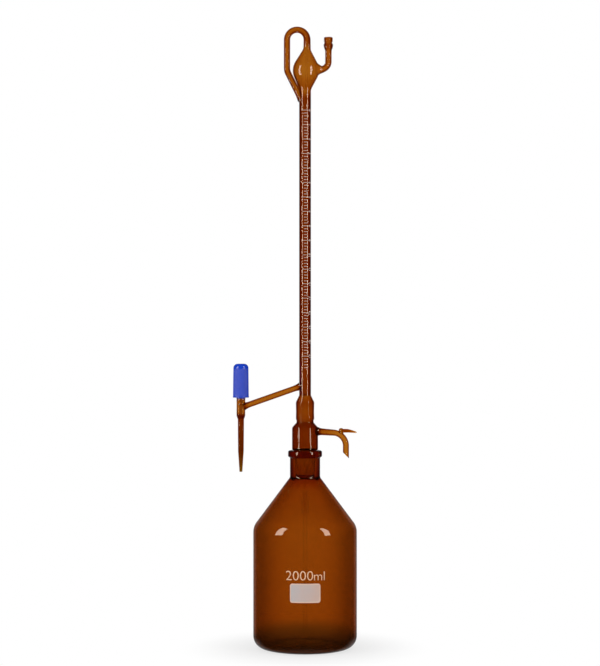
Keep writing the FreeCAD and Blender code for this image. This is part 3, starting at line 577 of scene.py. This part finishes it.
PANEL_MIDDLE = 80.6
outer, inner = outline(39.4, 24.6, 3.2, PANEL_MIDDLE), outline(36.4, 21.6, 1.9, PANEL_MIDDLE)
count = len(outer)
rim_flat = bpy.data.meshes.new("panel_rim")
rim_flat.from_pydata(
    outer + inner,
    [],
    [(at, (at + 1) % count, count + (at + 1) % count, count + at) for at in range(count)],
)
field_flat = bpy.data.meshes.new("panel_field")
field_flat.from_pydata(inner, [], [list(range(count))])
for name, flat, thickness, material in (
    ("writing_panel_rim", rim_flat, 0.16, rim_enamel),
    ("writing_panel_field", field_flat, 0.11, panel_enamel),
):
    panel = wrapped(name, flat, BOTTLE_RADIUS, thickness)
    panel.data.materials.append(material)
    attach(panel, "bottle")
    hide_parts("writing_panel")

# Dip tube and its sleeve
# A plain glass tube reaches nearly to the bottle's floor. A milky silicone sleeve holds it on the end of the
# riser, so that the burette can be lifted out with it.
def clear(title, ior, roughness, tint):
    """A clear tube or sleeve: hardly tinted, with slight smears, and an index low enough to keep it faint."""
    material = bpy.data.materials.new(title)
    material.use_nodes = True
    tree = material.node_tree
    skin = tree.nodes["Principled BSDF"]
    skin.inputs["Base Color"].default_value = (*tint, 1)
    skin.inputs["Transmission Weight"].default_value = 1.0
    skin.inputs["IOR"].default_value = ior
    smears = noise(tree, position(tree), 150.0, 3.0)
    dull = ramp(tree, smears, From_Min=0.4, From_Max=0.8, To_Min=roughness, To_Max=roughness + 0.08)
    tree.links.new(dull, skin.inputs["Roughness"])
    return material


clear_glass = clear("clear_glass", 1.1, 0.0, (0.98, 0.97, 0.96))
clear_silicone = clear("clear_silicone", 1.2, 0.15, (0.95, 0.92, 0.86))


def skinned(name, rings):
    """A closed skin over rings of points, all with the same number of them, flat at both ends."""
    steps = len(rings[0])
    points = [point for ring in rings for point in ring]
    faces = []
    for start in range(0, len(points) - steps, steps):
        for step in range(steps):
            here, there = start + step, start + (step + 1) % steps
            faces.append((here, there, there + steps, here + steps))
    faces += [list(range(steps)), list(range(len(points) - steps, len(points)))]
    return piece(name, points, faces)


def swept(name, corners, size, steps=40):
    """A round rod along (x, z) and (x, z, bend radius) corners. size is a radius, or gives it along the path."""
    line = closer(rounded(corners, 16), 3.0)
    lengths, reach = [], 0.0
    for at, point in enumerate(line):
        reach += (point - line[at - 1]).length if at else 0.0
        lengths.append(reach)
    rings = []
    for at, point in enumerate(line):
        before, after = line[max(at - 1, 0)], line[min(at + 1, len(line) - 1)]
        run = (after - before).normalized()
        radius = size(lengths[at], reach) if callable(size) else size
        ring = []
        for step in range(steps):
            turn = 2 * math.pi * step / steps
            side = radius * math.sin(turn)
            ring.append(Vector((point.x + run.y * side, radius * math.cos(turn), point.y - run.x * side)))
        rings.append(ring)
    return skinned(name, rings)


def wedge(name, points):
    """A block between a plane and a slanted plane, given by four points on each."""
    return piece(name, points, [(0, 1, 2, 3), (4, 5, 6, 7), (0, 1, 5, 4), (1, 2, 6, 5), (2, 3, 7, 6), (3, 0, 4, 7)])


def joined(first, others, operation):
    """Welds pieces to the first one, or cuts them out of it, and drops them."""
    for other in others:
        tool = first.modifiers.new(operation, "BOOLEAN")
        tool.operation = operation
        tool.solver = "MANIFOLD"
        tool.object = other
        bpy.context.view_layer.update()
        shaped = bpy.data.meshes.new_from_object(first.evaluated_get(bpy.context.evaluated_depsgraph_get()))
        first.modifiers.clear()
        first.data = shaped
        bpy.data.objects.remove(other)
    first.data.shade_smooth()
    first.data.set_sharp_from_angle(angle=math.radians(32))
    return first


def dressed(made, material, body, slot, *nodes):
    """Gives a piece its material and its body, and hides the CAD nodes that it replaces. Its slot is not used."""
    made.data.name = made.name
    made.data.materials.clear()
    made.data.materials.append(material)
    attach(made, body)
    if nodes:
        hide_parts(*nodes)


DIP_RADIUS, DIP_BORE, DIP_TOP = 3.5, 2.0, 193.2
RISER_RADIUS, GLASS_GAP, SLEEVE_GAP = 2.0, 0.03, 0.05
dip = swept("dip_tube_glass", [(0, 12), (0, DIP_TOP)], DIP_RADIUS, 48)
cut = wedge(
    "dip_end",
    [(-6, -6, 8), (6, -6, 8), (6, 6, 8), (-6, 6, 8), (-6, -6, 12), (6, -6, 18), (6, 6, 18), (-6, 6, 12)],
)
dip = joined(dip, [swept("dip_bore", [(0, 8), (0, 196)], DIP_BORE, 40), cut], "DIFFERENCE")
dressed(dip, clear_glass, "dip_tube", "clear_glass", "dip_tube")
# The sleeve's lower part grips the dip tube, its upper part the riser, with a narrow step between them
sleeve = turned(
    "riser_sleeve",
    rounded(
        [
            (DIP_RADIUS + SLEEVE_GAP, 192.0),
            (DIP_RADIUS + SLEEVE_GAP, 177.2),
            (5, 177.2, 0.6),
            (5, 207.2, 0.6),
            (RISER_RADIUS + GLASS_GAP, 207.2),
            (RISER_RADIUS + GLASS_GAP, 195.3),
            (1.6, 195.3),
            (1.6, 193.3),
            (DIP_RADIUS + SLEEVE_GAP, 193.3),
            (DIP_RADIUS + SLEEVE_GAP, 192.0),
        ],
        4,
    ),
    steps=64,
)
dressed(sleeve, clear_silicone, "burette", "silicone", "riser_coupling")


# Burette
# One piece of blown amber glass: ground cone, wide head, seal chamber, graduated tube, overflow bulb and loop,
# with the outlet arm, the pump arm and the vent nozzle welded on. The riser and zero tubes run inside it.
burette_amber = amber_glass(
    "burette_amber", (0.268, 0.59, 1.34), Wave_Size=9.0, Wave_Height=0.003, Ground_Inside=0.0122, Ground_Outside=0.02
)
tree = burette_amber.node_tree
spot = parts_of(tree, position(tree))
# Highlights are calmed by 0.77 on what stands off to the side or over the bulb, by half on the head, and wholly on
# the seal chamber, the pump arm and the low end of the outlet
OFF_TO_THE_SIDE, OVER_THE_BULB, OUTLET_BEYOND = 0.0208, 0.792, -0.07
sideways = maths(tree, "GREATER_THAN", maths(tree, "ABSOLUTE", spot["X"]), OFF_TO_THE_SIDE)
calmer = maths(tree, "MAXIMUM", sideways, maths(tree, "GREATER_THAN", spot["Z"], OVER_THE_BULB))
calmer = maths(tree, "MULTIPLY", calmer, 0.77)
for top, share in ((0.3225, 1.0), (0.2975, -0.5)):
    lower = maths(tree, "MULTIPLY", maths(tree, "LESS_THAN", spot["Z"], top), share)
    calmer = maths(tree, "ADD", calmer, lower)
glint = ramp(tree, maths(tree, "MINIMUM", calmer, 1.0), To_Min=1.0, To_Max=0.15)
tree.links.new(glint, tree.nodes["Principled BSDF"].inputs["Specular Tint"])
# The drawn outlet is deeper in tone towards its tip, and so are the chamber and, more so, the head
drawn = ramp(tree, spot["Z"], From_Min=0.305, From_Max=0.235)
outlet = maths(tree, "MULTIPLY", drawn, maths(tree, "LESS_THAN", spot["X"], OUTLET_BEYOND))
chamber = maths(tree, "MULTIPLY", maths(tree, "LESS_THAN", spot["Z"], 0.323), 0.35)
head = maths(tree, "MULTIPLY", maths(tree, "LESS_THAN", spot["Z"], 0.2955), 0.65)
head = maths(tree, "MAXIMUM", maths(tree, "SUBTRACT", maths(tree, "ADD", chamber, head), sideways), 0.0)
tinted(burette_amber, outlet, (0.5, 0.56, 0.42))
tinted(burette_amber, head, (0.86, 0.77, 0.6))


def inside(line, wall, more, below):
    """The path one wall inside an (r, z) path from bottom to top. The wall is thicker by more at its foot."""
    shifted = []
    for at, point in enumerate(line):
        run = (line[min(at + 1, len(line) - 1)] - line[max(at - 1, 0)]).normalized()
        shifted.append(point + Vector((-run.y, run.x)) * (wall + more * max(0, 1 - point.y / below)))
    return shifted


TUBE_RADIUS, TUBE_TOP, ZERO_LINE, HEAD_RADIUS = 7.7, 731.9, 705.6, 17.05
# The bulb leans a little to the right. The valve, the relief nipple and the vent's olive stand upright.
LEAN = Matrix.Translation((0, 0, 731.6)) @ Matrix.Rotation(math.radians(2.4), 4, "Y")
VALVE, NIPPLE, OLIVE = (Matrix.Translation((x, 0, 0)) for x in (-84.3, 47.4, 30.6))
# The body's outside: ground cone, head, waist, seal chamber and tube
body = turned(
    "burette_glass",
    closer(
        rounded(
            [
                (0, 221.2),
                (10.9, 221.2, 0.5),
                (12.95, 227.2, 0.6),
                (14.55, 259.2),
                (14.55, 259.8),
                (HEAD_RADIUS, 259.8, 1.6),
                (HEAD_RADIUS, 289.4, 5.0),
                (11.3, 295.8, 1.5),
                (11.1, 298.9, 0.8),
                (12.1, 300.3, 1.6),
                (11.8, 310.0, 40),
                (12.1, 322.4, 4.5),
                (TUBE_RADIUS, 331.6, 3.0),
                (TUBE_RADIUS, TUBE_TOP),
                (0, TUBE_TOP),
            ]
        ),
        25,
    ),
    steps=96,
)
# The overflow bulb, and the loop that springs from the tube's upper left and enters the bulb from above
bulb_path = closer(rounded([(TUBE_RADIUS, -3), (7.5, 2, 14), (20.15, 27.8, 22.5), (4.6, 55, 10), (4.5, 60)], 16), 4)
bulb = turned("bulb_outside", [Vector((0, -3)), *bulb_path, Vector((0, 60))], place=LEAN, steps=96)
loop = swept(
    "loop_outside",
    [(-4.6, 719.6), (-23.7, 758.0, 14), (-23.7, 812.0, 13.1), (2.7, 812.0, 13.1), (2.6, 786.0)],
    lambda along, whole: 4.1 + 1.2 * max(0, 1 - along / 12) ** 2 + 0.7 * max(0, 1 - (whole - along) / 30) ** 0.7,
)
# The vent nozzle flares out of the bulb's side, and a hose olive ends it
vent = swept(
    "vent_outside",
    [(12.0, 759.7), (30.7, 759.9, 10.4), (30.7, 786.5)],
    lambda along, whole: 4.2 + 8.7 * max(0, 1 - along / 14) ** 2,
)
olive = turned(
    "olive_outside",
    closer(
        rounded(
            [
                (0, 784.3),
                (4.2, 784.3, 3),
                (6.15, 790.3, 1.0),
                (6.15, 792.9, 0.8),
                (4.55, 794.8, 0.7),
                (5.7, 796.7, 0.7),
                (5.7, 802.1, 1.2),
                (0, 802.1),
            ],
            5,
        ),
        3,
    ),
    place=OLIVE,
    steps=64,
)
# The slanting outlet arm, flared at both welds, and the valve's barrel drawn out to the tip
arm = swept(
    "arm_outside",
    [(-3.0, 344.34), (-81.0, 316.87)],
    lambda along, whole: 3.85
    + 3.0 * max(0, 1 - along / 13) ** 2.2
    + 1.7 * max(0, 1 - (whole - along) / 9) ** 2,
)
barrel = turned(
    "barrel_outside",
    closer(
        rounded(
            [
                (0, 231.1),
                (1.88, 231.1, 0.5),
                (3.7, 258.6, 4),
                (4.05, 300.3, 3),
                (5.7, 304.9, 4),
                (5.7, 327.3, 0.4),
                (0, 327.3),
            ]
        ),
        8,
    ),
    place=VALVE,
    steps=64,
)
# The pump arm, bent down to a bevelled end, with the relief nipple and the thumb rest on its bend
pump = swept(
    "pump_outside",
    [(13.5, 284.3), (53.7, 281.4, 17.3), (53.7, 246.0)],
    lambda along, whole: 3.95 + 1.6 * max(0, 1 - abs(along - 3.0) / 5) ** 2 + 0.75 * max(0, 1 - along / 27),
)
bevel = wedge(
    "pump_bevel",
    [(45, -8, 240), (62, -8, 240), (62, 8, 240), (45, 8, 240)]
    + [(45, -8, 261.5), (62, -8, 244.5), (62, 8, 244.5), (45, 8, 261.5)],
)
pump = joined(pump, [bevel], "DIFFERENCE")
nipple = turned(
    "nipple_outside",
    rounded([(0, 277.4), (3.0, 277.4), (3.0, 288.6, 2.6), (0, 288.6)], 8),
    place=NIPPLE,
    steps=48,
)
# x, z, half height and half width
rest_stations = (
    (47.4, 285.0, 2.5, 2.9),
    (51.0, 285.1, 2.5, 3.0),
    (56.0, 285.0, 2.35, 2.8),
    (60.0, 284.5, 2.0, 2.4),
    (64.0, 283.7, 1.45, 1.8),
    (66.6, 283.1, 1.1, 1.4),
    (67.7, 282.9, 0.6, 0.8),
)
AROUND, SQUARED_OFF = 24, 0.8
turns = [2 * math.pi * step / AROUND for step in range(AROUND)]
bends = [abs(math.sin(turn)) ** SQUARED_OFF * math.copysign(1, math.sin(turn)) for turn in turns]
rings = []
for x, z, half_height, half_width in rest_stations:
    rings.append([(x, half_width * math.cos(turn), z + half_height * bend) for turn, bend in zip(turns, bends)])
thumb = skinned("thumb_outside", rings)
body = joined(body, [bulb, loop, vent, olive, arm, barrel, pump, nipple, thumb], "UNION")

# What is hollow in it: the head with the chamber, the tube with the bulb, the bores of the arms, and the seats that
# the riser and zero tubes are fused into
head_hollow = turned(
    "head_hollow",
    closer(
        rounded(
            [
                (0, 215.0),
                (10.75, 215.0),
                (10.75, 258.4, 1.0),
                (14.05, 261.8, 1.5),
                (14.05, 288.2, 3.0),
                (8.3, 294.6, 1.0),
                (8.2, 298.4, 1.0),
                (9.3, 300.9, 1.5),
                (9.3, 321.6, 2.5),
                (5.4, 331.6, 0.5),
                (0, 331.6),
            ]
        ),
        12,
    ),
    steps=80,
)
tube_hollow = turned("tube_hollow", [(0, 333.1), (4.55, 333.1), (4.55, 722.0), (5.9, 732.5), (0, 732.5)], steps=64)
hollow_path = [point for point in inside(bulb_path, 1.8, 0.5, 22) if point.x > 2.6]
bulb_hollow = turned(
    "bulb_hollow",
    [Vector((0, -3)), *hollow_path, Vector((0, hollow_path[-1].y + 0.8))],
    place=LEAN,
    steps=80,
)
loop_path = [(-2.45, 716.3), (-23.7, 758.0, 14), (-23.7, 812.3, 13.1), (2.5, 812.3, 13.1), (2.5, 789.0)]
tools = [
    head_hollow,
    joined(tube_hollow, [bulb_hollow], "UNION"),
    swept("loop_bore", loop_path, 1.95, 24),
    swept(
        "vent_bore",
        [(12.0, 759.7), (30.7, 759.9, 10.4), (30.6, 803.0)],
        lambda along, whole: 2.0 + 8.4 * max(0, 1 - along / 14) ** 2 + 1.3 * max(0, min(1, (along - whole + 19) / 8)),
        32,
    ),
    swept("arm_bore", [(-2.0, 344.7), (-84.3, 315.71)], 2.0, 24),
    turned(
        "barrel_bore",
        [
            (0, 230.0),
            (0.55, 230.0),
            (0.55, 231.1),
            (0.8, 258.6),
            (1.0, 303.3),
            (4.1, 308.3),
            (4.1, 328.0),
            (0, 328.0),
        ],
        place=VALVE,
        steps=48,
    ),
    swept("pump_bore", [(10.0, 284.5), (53.7, 281.4, 17.3), (53.7, 244.0)], 2.2, 32),
    turned("nipple_bore", [(0, 277.4), (1.1, 277.4), (1.1, 290), (0, 290)], 24, NIPPLE),
]
riser_bends = [(0, 259.8, 60), (-2.45, 288.6, 60), (-2.45, 716.3, 9)]
riser_path = [(0, 195.2), *riser_bends, (-12.4, 735.8)]
zero_path = [(1.85, ZERO_LINE), (2.5, 796.6)]
ZERO_RADIUS, INNER_BORE = 2.1, 1.2
tools += [
    swept("riser_seat", riser_path, RISER_RADIUS + GLASS_GAP, 28),
    swept("zero_seat", zero_path, ZERO_RADIUS + GLASS_GAP, 28),
]
body = joined(body, tools, "DIFFERENCE")

# The riser ends in the loop's foot. The zero tube hangs through the bulb, its slanted end at the zero line.
riser = swept("riser_glass", riser_path, RISER_RADIUS, 28)
riser_bore = swept("riser_bore", [(0, 190.0), *riser_bends, (-13.0, 737.0)], INNER_BORE, 20)
riser = joined(riser, [riser_bore], "DIFFERENCE")
dressed(riser, clear_glass, "burette", "clear_glass", "riser_tube")
zero = swept("zero_glass", zero_path, ZERO_RADIUS, 28)
slant = wedge(
    "slanted_end",
    [(-8, -8, 700), (8, -8, 700), (8, 8, 700), (-8, 8, 700)]
    + [(-8, -8, 714), (8, -8, 702.8), (8, 8, 702.8), (-8, 8, 714)],
)
zero_bore = swept("zero_bore", [(1.82, 700.0), (2.51, 798.0)], INNER_BORE, 20)
zero = joined(zero, [slant, zero_bore], "DIFFERENCE")
dressed(zero, clear_glass, "burette", "clear_glass", "zero_tube")
dressed(
    body,
    burette_amber,
    "burette",
    "amber_glass",
    "head_cone",
    "seal_chamber",
    "burette_tube",
    "overflow_bulb",
    "loop_tube",
    "vent_nozzle",
    "outlet_arm",
    "valve_barrel",
    "outlet_tip",
    "pump_arm",
    "relief_nipple",
    "thumb_rest",
)

# Ground joint
# The cone's outside and the socket's inside are ground with grit to a fine white frost, so that they seal dry.
# The frost is drawn as a film on the cone; it scatters the light that reaches it through the bottle's neck.
def plastic(title, colour, roughness, mottle=0.12, **shader):
    """A moulded or turned polymer with a faint mottle and a fine grain."""
    material = bpy.data.materials.new(title)
    material.use_nodes = True
    tree = material.node_tree
    skin = tree.nodes["Principled BSDF"]
    for label, value in shader.items():
        skin.inputs[label.replace("_", " ")].default_value = value
    where = position(tree)
    clouds = noise(tree, where, 220.0, 4.0)
    darker = [part * (1 - mottle) for part in colour]
    lighter = [min(1, part * (1 + mottle)) for part in colour]
    tree.links.new(mixed(tree, clouds, darker, lighter), skin.inputs["Base Color"])
    dull = ramp(tree, clouds, To_Min=roughness * 0.8, To_Max=min(1, roughness * 1.2))
    tree.links.new(dull, skin.inputs["Roughness"])
    grainy(tree, where, 3000.0, 0.3, 0.00002)
    return material


frost_white = plastic("frost_white", (0.9, 0.9, 0.9), 0.8, mottle=0.08)
film = turned(
    "joint_frost",
    [(13.012, 228.2), (14.552, 258.8), (14.576, 258.8), (13.036, 228.2), (13.012, 228.2)],
    steps=96,
)
dressed(film, frost_white, "burette", "amber_glass")

# Scale
# White enamel lines and numbers, screened on the front of the tube and fired in. A long line at every
# millilitre and short ones between, a fifth of it apart, with the numbers turned on their side.
MILLILITRE, PARTS, LAST = 18.96, 5, 89
LINE_LIFT, LINE_HEIGHT, LINE_THICKNESS, FIGURE_HEIGHT, FIGURE_MIDDLE = 0.05, 0.55, 0.06, 3.9, 7.6
scale_enamel = enamel("scale_enamel", (0.78, 0.68, 0.62), (0.66, 0.52, 0.44))
ladder = bpy.data.node_groups.new("scale_lines", "GeometryNodeTree")
ladder.is_modifier = True
for label, kind, value in (
    ("Radius", "Float", (TUBE_RADIUS + LINE_LIFT) / 1000),
    ("Zero Line", "Float", ZERO_LINE / 1000),
    ("Spacing", "Float", MILLILITRE / PARTS / 1000),
    ("Lines", "Int", LAST + 1),
    ("Line Height", "Float", LINE_HEIGHT / 1000),
):
    made = ladder.interface.new_socket(label, in_out="INPUT", socket_type="NodeSocket" + kind)
    made.default_value = value
ladder.interface.new_socket("Geometry", in_out="OUTPUT", socket_type="NodeSocketGeometry")
given, put = ladder.nodes.new("NodeGroupInput"), ladder.nodes.new("NodeGroupOutput")
rungs = ladder.nodes.new("GeometryNodeMeshLine")
down, first = ladder.nodes.new("ShaderNodeCombineXYZ"), ladder.nodes.new("ShaderNodeCombineXYZ")
ladder.links.new(maths(ladder, "MULTIPLY", given.outputs["Spacing"], -1.0), down.inputs["Z"])
ladder.links.new(given.outputs["Zero Line"], first.inputs["Z"])
ladder.links.new(given.outputs["Lines"], rungs.inputs["Count"])
ladder.links.new(first.outputs[0], rungs.inputs["Start Location"])
ladder.links.new(down.outputs[0], rungs.inputs["Offset"])
section = ladder.nodes.new("GeometryNodeCurvePrimitiveQuadrilateral")
section.inputs["Width"].default_value = LINE_THICKNESS / 1000
ladder.links.new(given.outputs["Line Height"], section.inputs["Height"])
index = ladder.nodes.new("GeometryNodeInputIndex")
whole = maths(ladder, "LESS_THAN", maths(ladder, "MODULO", index.outputs[0], float(PARTS)), 0.5)
between = maths(ladder, "SUBTRACT", 1.0, whole)
gather = ladder.nodes.new("GeometryNodeJoinGeometry")
for chosen, left, right in ((whole, -22, 38), (between, -11, 28)):
    arc = ladder.nodes.new("GeometryNodeCurveArc")
    arc.inputs["Resolution"].default_value = 12
    arc.inputs["Start Angle"].default_value = math.radians(left - 90)
    arc.inputs["Sweep Angle"].default_value = math.radians(right - left)
    ladder.links.new(given.outputs["Radius"], arc.inputs["Radius"])
    strip = ladder.nodes.new("GeometryNodeCurveToMesh")
    strip.inputs["Fill Caps"].default_value = True
    ladder.links.new(arc.outputs["Curve"], strip.inputs["Curve"])
    ladder.links.new(section.outputs[0], strip.inputs["Profile Curve"])
    laid = ladder.nodes.new("GeometryNodeInstanceOnPoints")
    ladder.links.new(rungs.outputs[0], laid.inputs["Points"])
    ladder.links.new(chosen, laid.inputs["Selection"])
    ladder.links.new(strip.outputs[0], laid.inputs["Instance"])
    ladder.links.new(laid.outputs[0], gather.inputs[0])
real = ladder.nodes.new("GeometryNodeRealizeInstances")
painted = ladder.nodes.new("GeometryNodeSetMaterial")
painted.inputs["Material"].default_value = scale_enamel
ladder.links.new(gather.outputs[0], real.inputs[0])
ladder.links.new(real.outputs[0], painted.inputs[0])
ladder.links.new(painted.outputs[0], put.inputs[0])


def grown(name, group):
    """The plain mesh that a geometry tree makes, as an object of its own."""
    made = bpy.data.objects.new(name, bpy.data.meshes.new(name))
    bpy.context.scene.collection.objects.link(made)
    made.modifiers.new("made", "NODES").node_group = group
    bpy.context.view_layer.update()
    mesh = bpy.data.meshes.new_from_object(made.evaluated_get(bpy.context.evaluated_depsgraph_get()))
    made.modifiers.clear()
    made.data = mesh
    return made


lines = grown("scale_lines", ladder)
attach(lines, "burette")

figures = bmesh.new()
for number in range(LAST // PARTS + 1):
    flat = lettering(str(number), FIGURE_HEIGHT)
    for vert in flat.vertices:
        vert.co = (FIGURE_MIDDLE - vert.co.z, 0, vert.co.x + ZERO_LINE - number * MILLILITRE)
    figures.from_mesh(flat)
flat = bpy.data.meshes.new("figures")
figures.to_mesh(flat)
figures.free()
numbers = wrapped("scale_numbers", flat, TUBE_RADIUS, 0.04, 0.5)
numbers.data.materials.append(scale_enamel)
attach(numbers, "burette")

# Needle valve
# A turned tan polymer spindle with two rubber rings turns in a blue bush screwed into the glass barrel.
# Its needle closes the seat at the barrel's foot. The ribbed blue knob is pressed on the spindle's head.
def finish(name, material):
    """Puts a material on a CAD piece whose shape is already right."""
    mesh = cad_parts[name].data
    mesh.materials.clear()
    mesh.materials.append(material)


# The knob is satin on its ribbed side and glossy on its round top. The bush is moulded in two shots, tan in the
# barrel and blue in the collar over it.
BARREL_TOP = 0.3272
knob_blue = plastic("knob_blue", (0.01, 0.062, 0.62), 0.2, mottle=0.06, Specular_IOR_Level=0.45)
tree = knob_blue.node_tree
satin = ramp(tree, parts_of(tree, position(tree))["Z"], From_Min=0.3665, From_Max=0.3675, To_Min=0.45, To_Max=0.12)
tree.links.new(satin, tree.nodes["Principled BSDF"].inputs["Roughness"])
bush_blue = plastic("bush_blue", (0.03, 0.08, 0.45), 0.3, Specular_IOR_Level=0.5)
tree = bush_blue.node_tree
in_barrel = maths(tree, "LESS_THAN", parts_of(tree, position(tree))["Z"], BARREL_TOP)
tinted(bush_blue, in_barrel, (0.7, 0.5, 0.34))
finish("valve_bush", bush_blue)
finish("needle_spindle", plastic("spindle_tan", (0.6, 0.4, 0.26), 0.4))
ring_brown = plastic("ring_brown", (0.34, 0.18, 0.10), 0.6)
finish("lower_seal", ring_brown)
finish("upper_seal", ring_brown)

# The knob's profile from its top down its side and up into its bore, which takes the spindle's head
RIBS, RIB_DEPTH, RIBBED_BEYOND = 72, 0.14, 9.0
KNOB_BORE, FOOT, SHOULDER, TOP = 6.0, 328.71, 367.11, 373.11
profile = closer(
    rounded(
        [
            (0, TOP),
            (9.85, TOP, 5.6),
            (10.34, FOOT + 1.7, 0.2),
            (10.6, FOOT + 1.4, 0.2),
            (10.6, FOOT, 0.5),
            (KNOB_BORE, FOOT, 0.3),
            (KNOB_BORE, FOOT + 24.6),
            (2.5, FOOT + 24.6),
            (2.5, FOOT + 41.2),
            (0, FOOT + 41.2),
        ],
        8,
    ),
    1.2,
)


def grooves(turn, radius, z):
    """How deep the grooves between the knob's ribs are. They run out over its foot and under its round top."""
    rise = min(1, max(0, z - FOOT - 1.8)) * min(1, max(0, (SHOULDER - z) / 1.4))
    ribbed = RIB_DEPTH * rise if radius > RIBBED_BEYOND else 0.0
    return ribbed * (0.5 - 0.5 * math.cos(turn * RIBS))


knob = turned("valve_knob_ribbed", profile, RIBS * 6, VALVE, 50, grooves)
knob.data.materials.append(knob_blue)
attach(knob, "knob")
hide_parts("valve_knob")
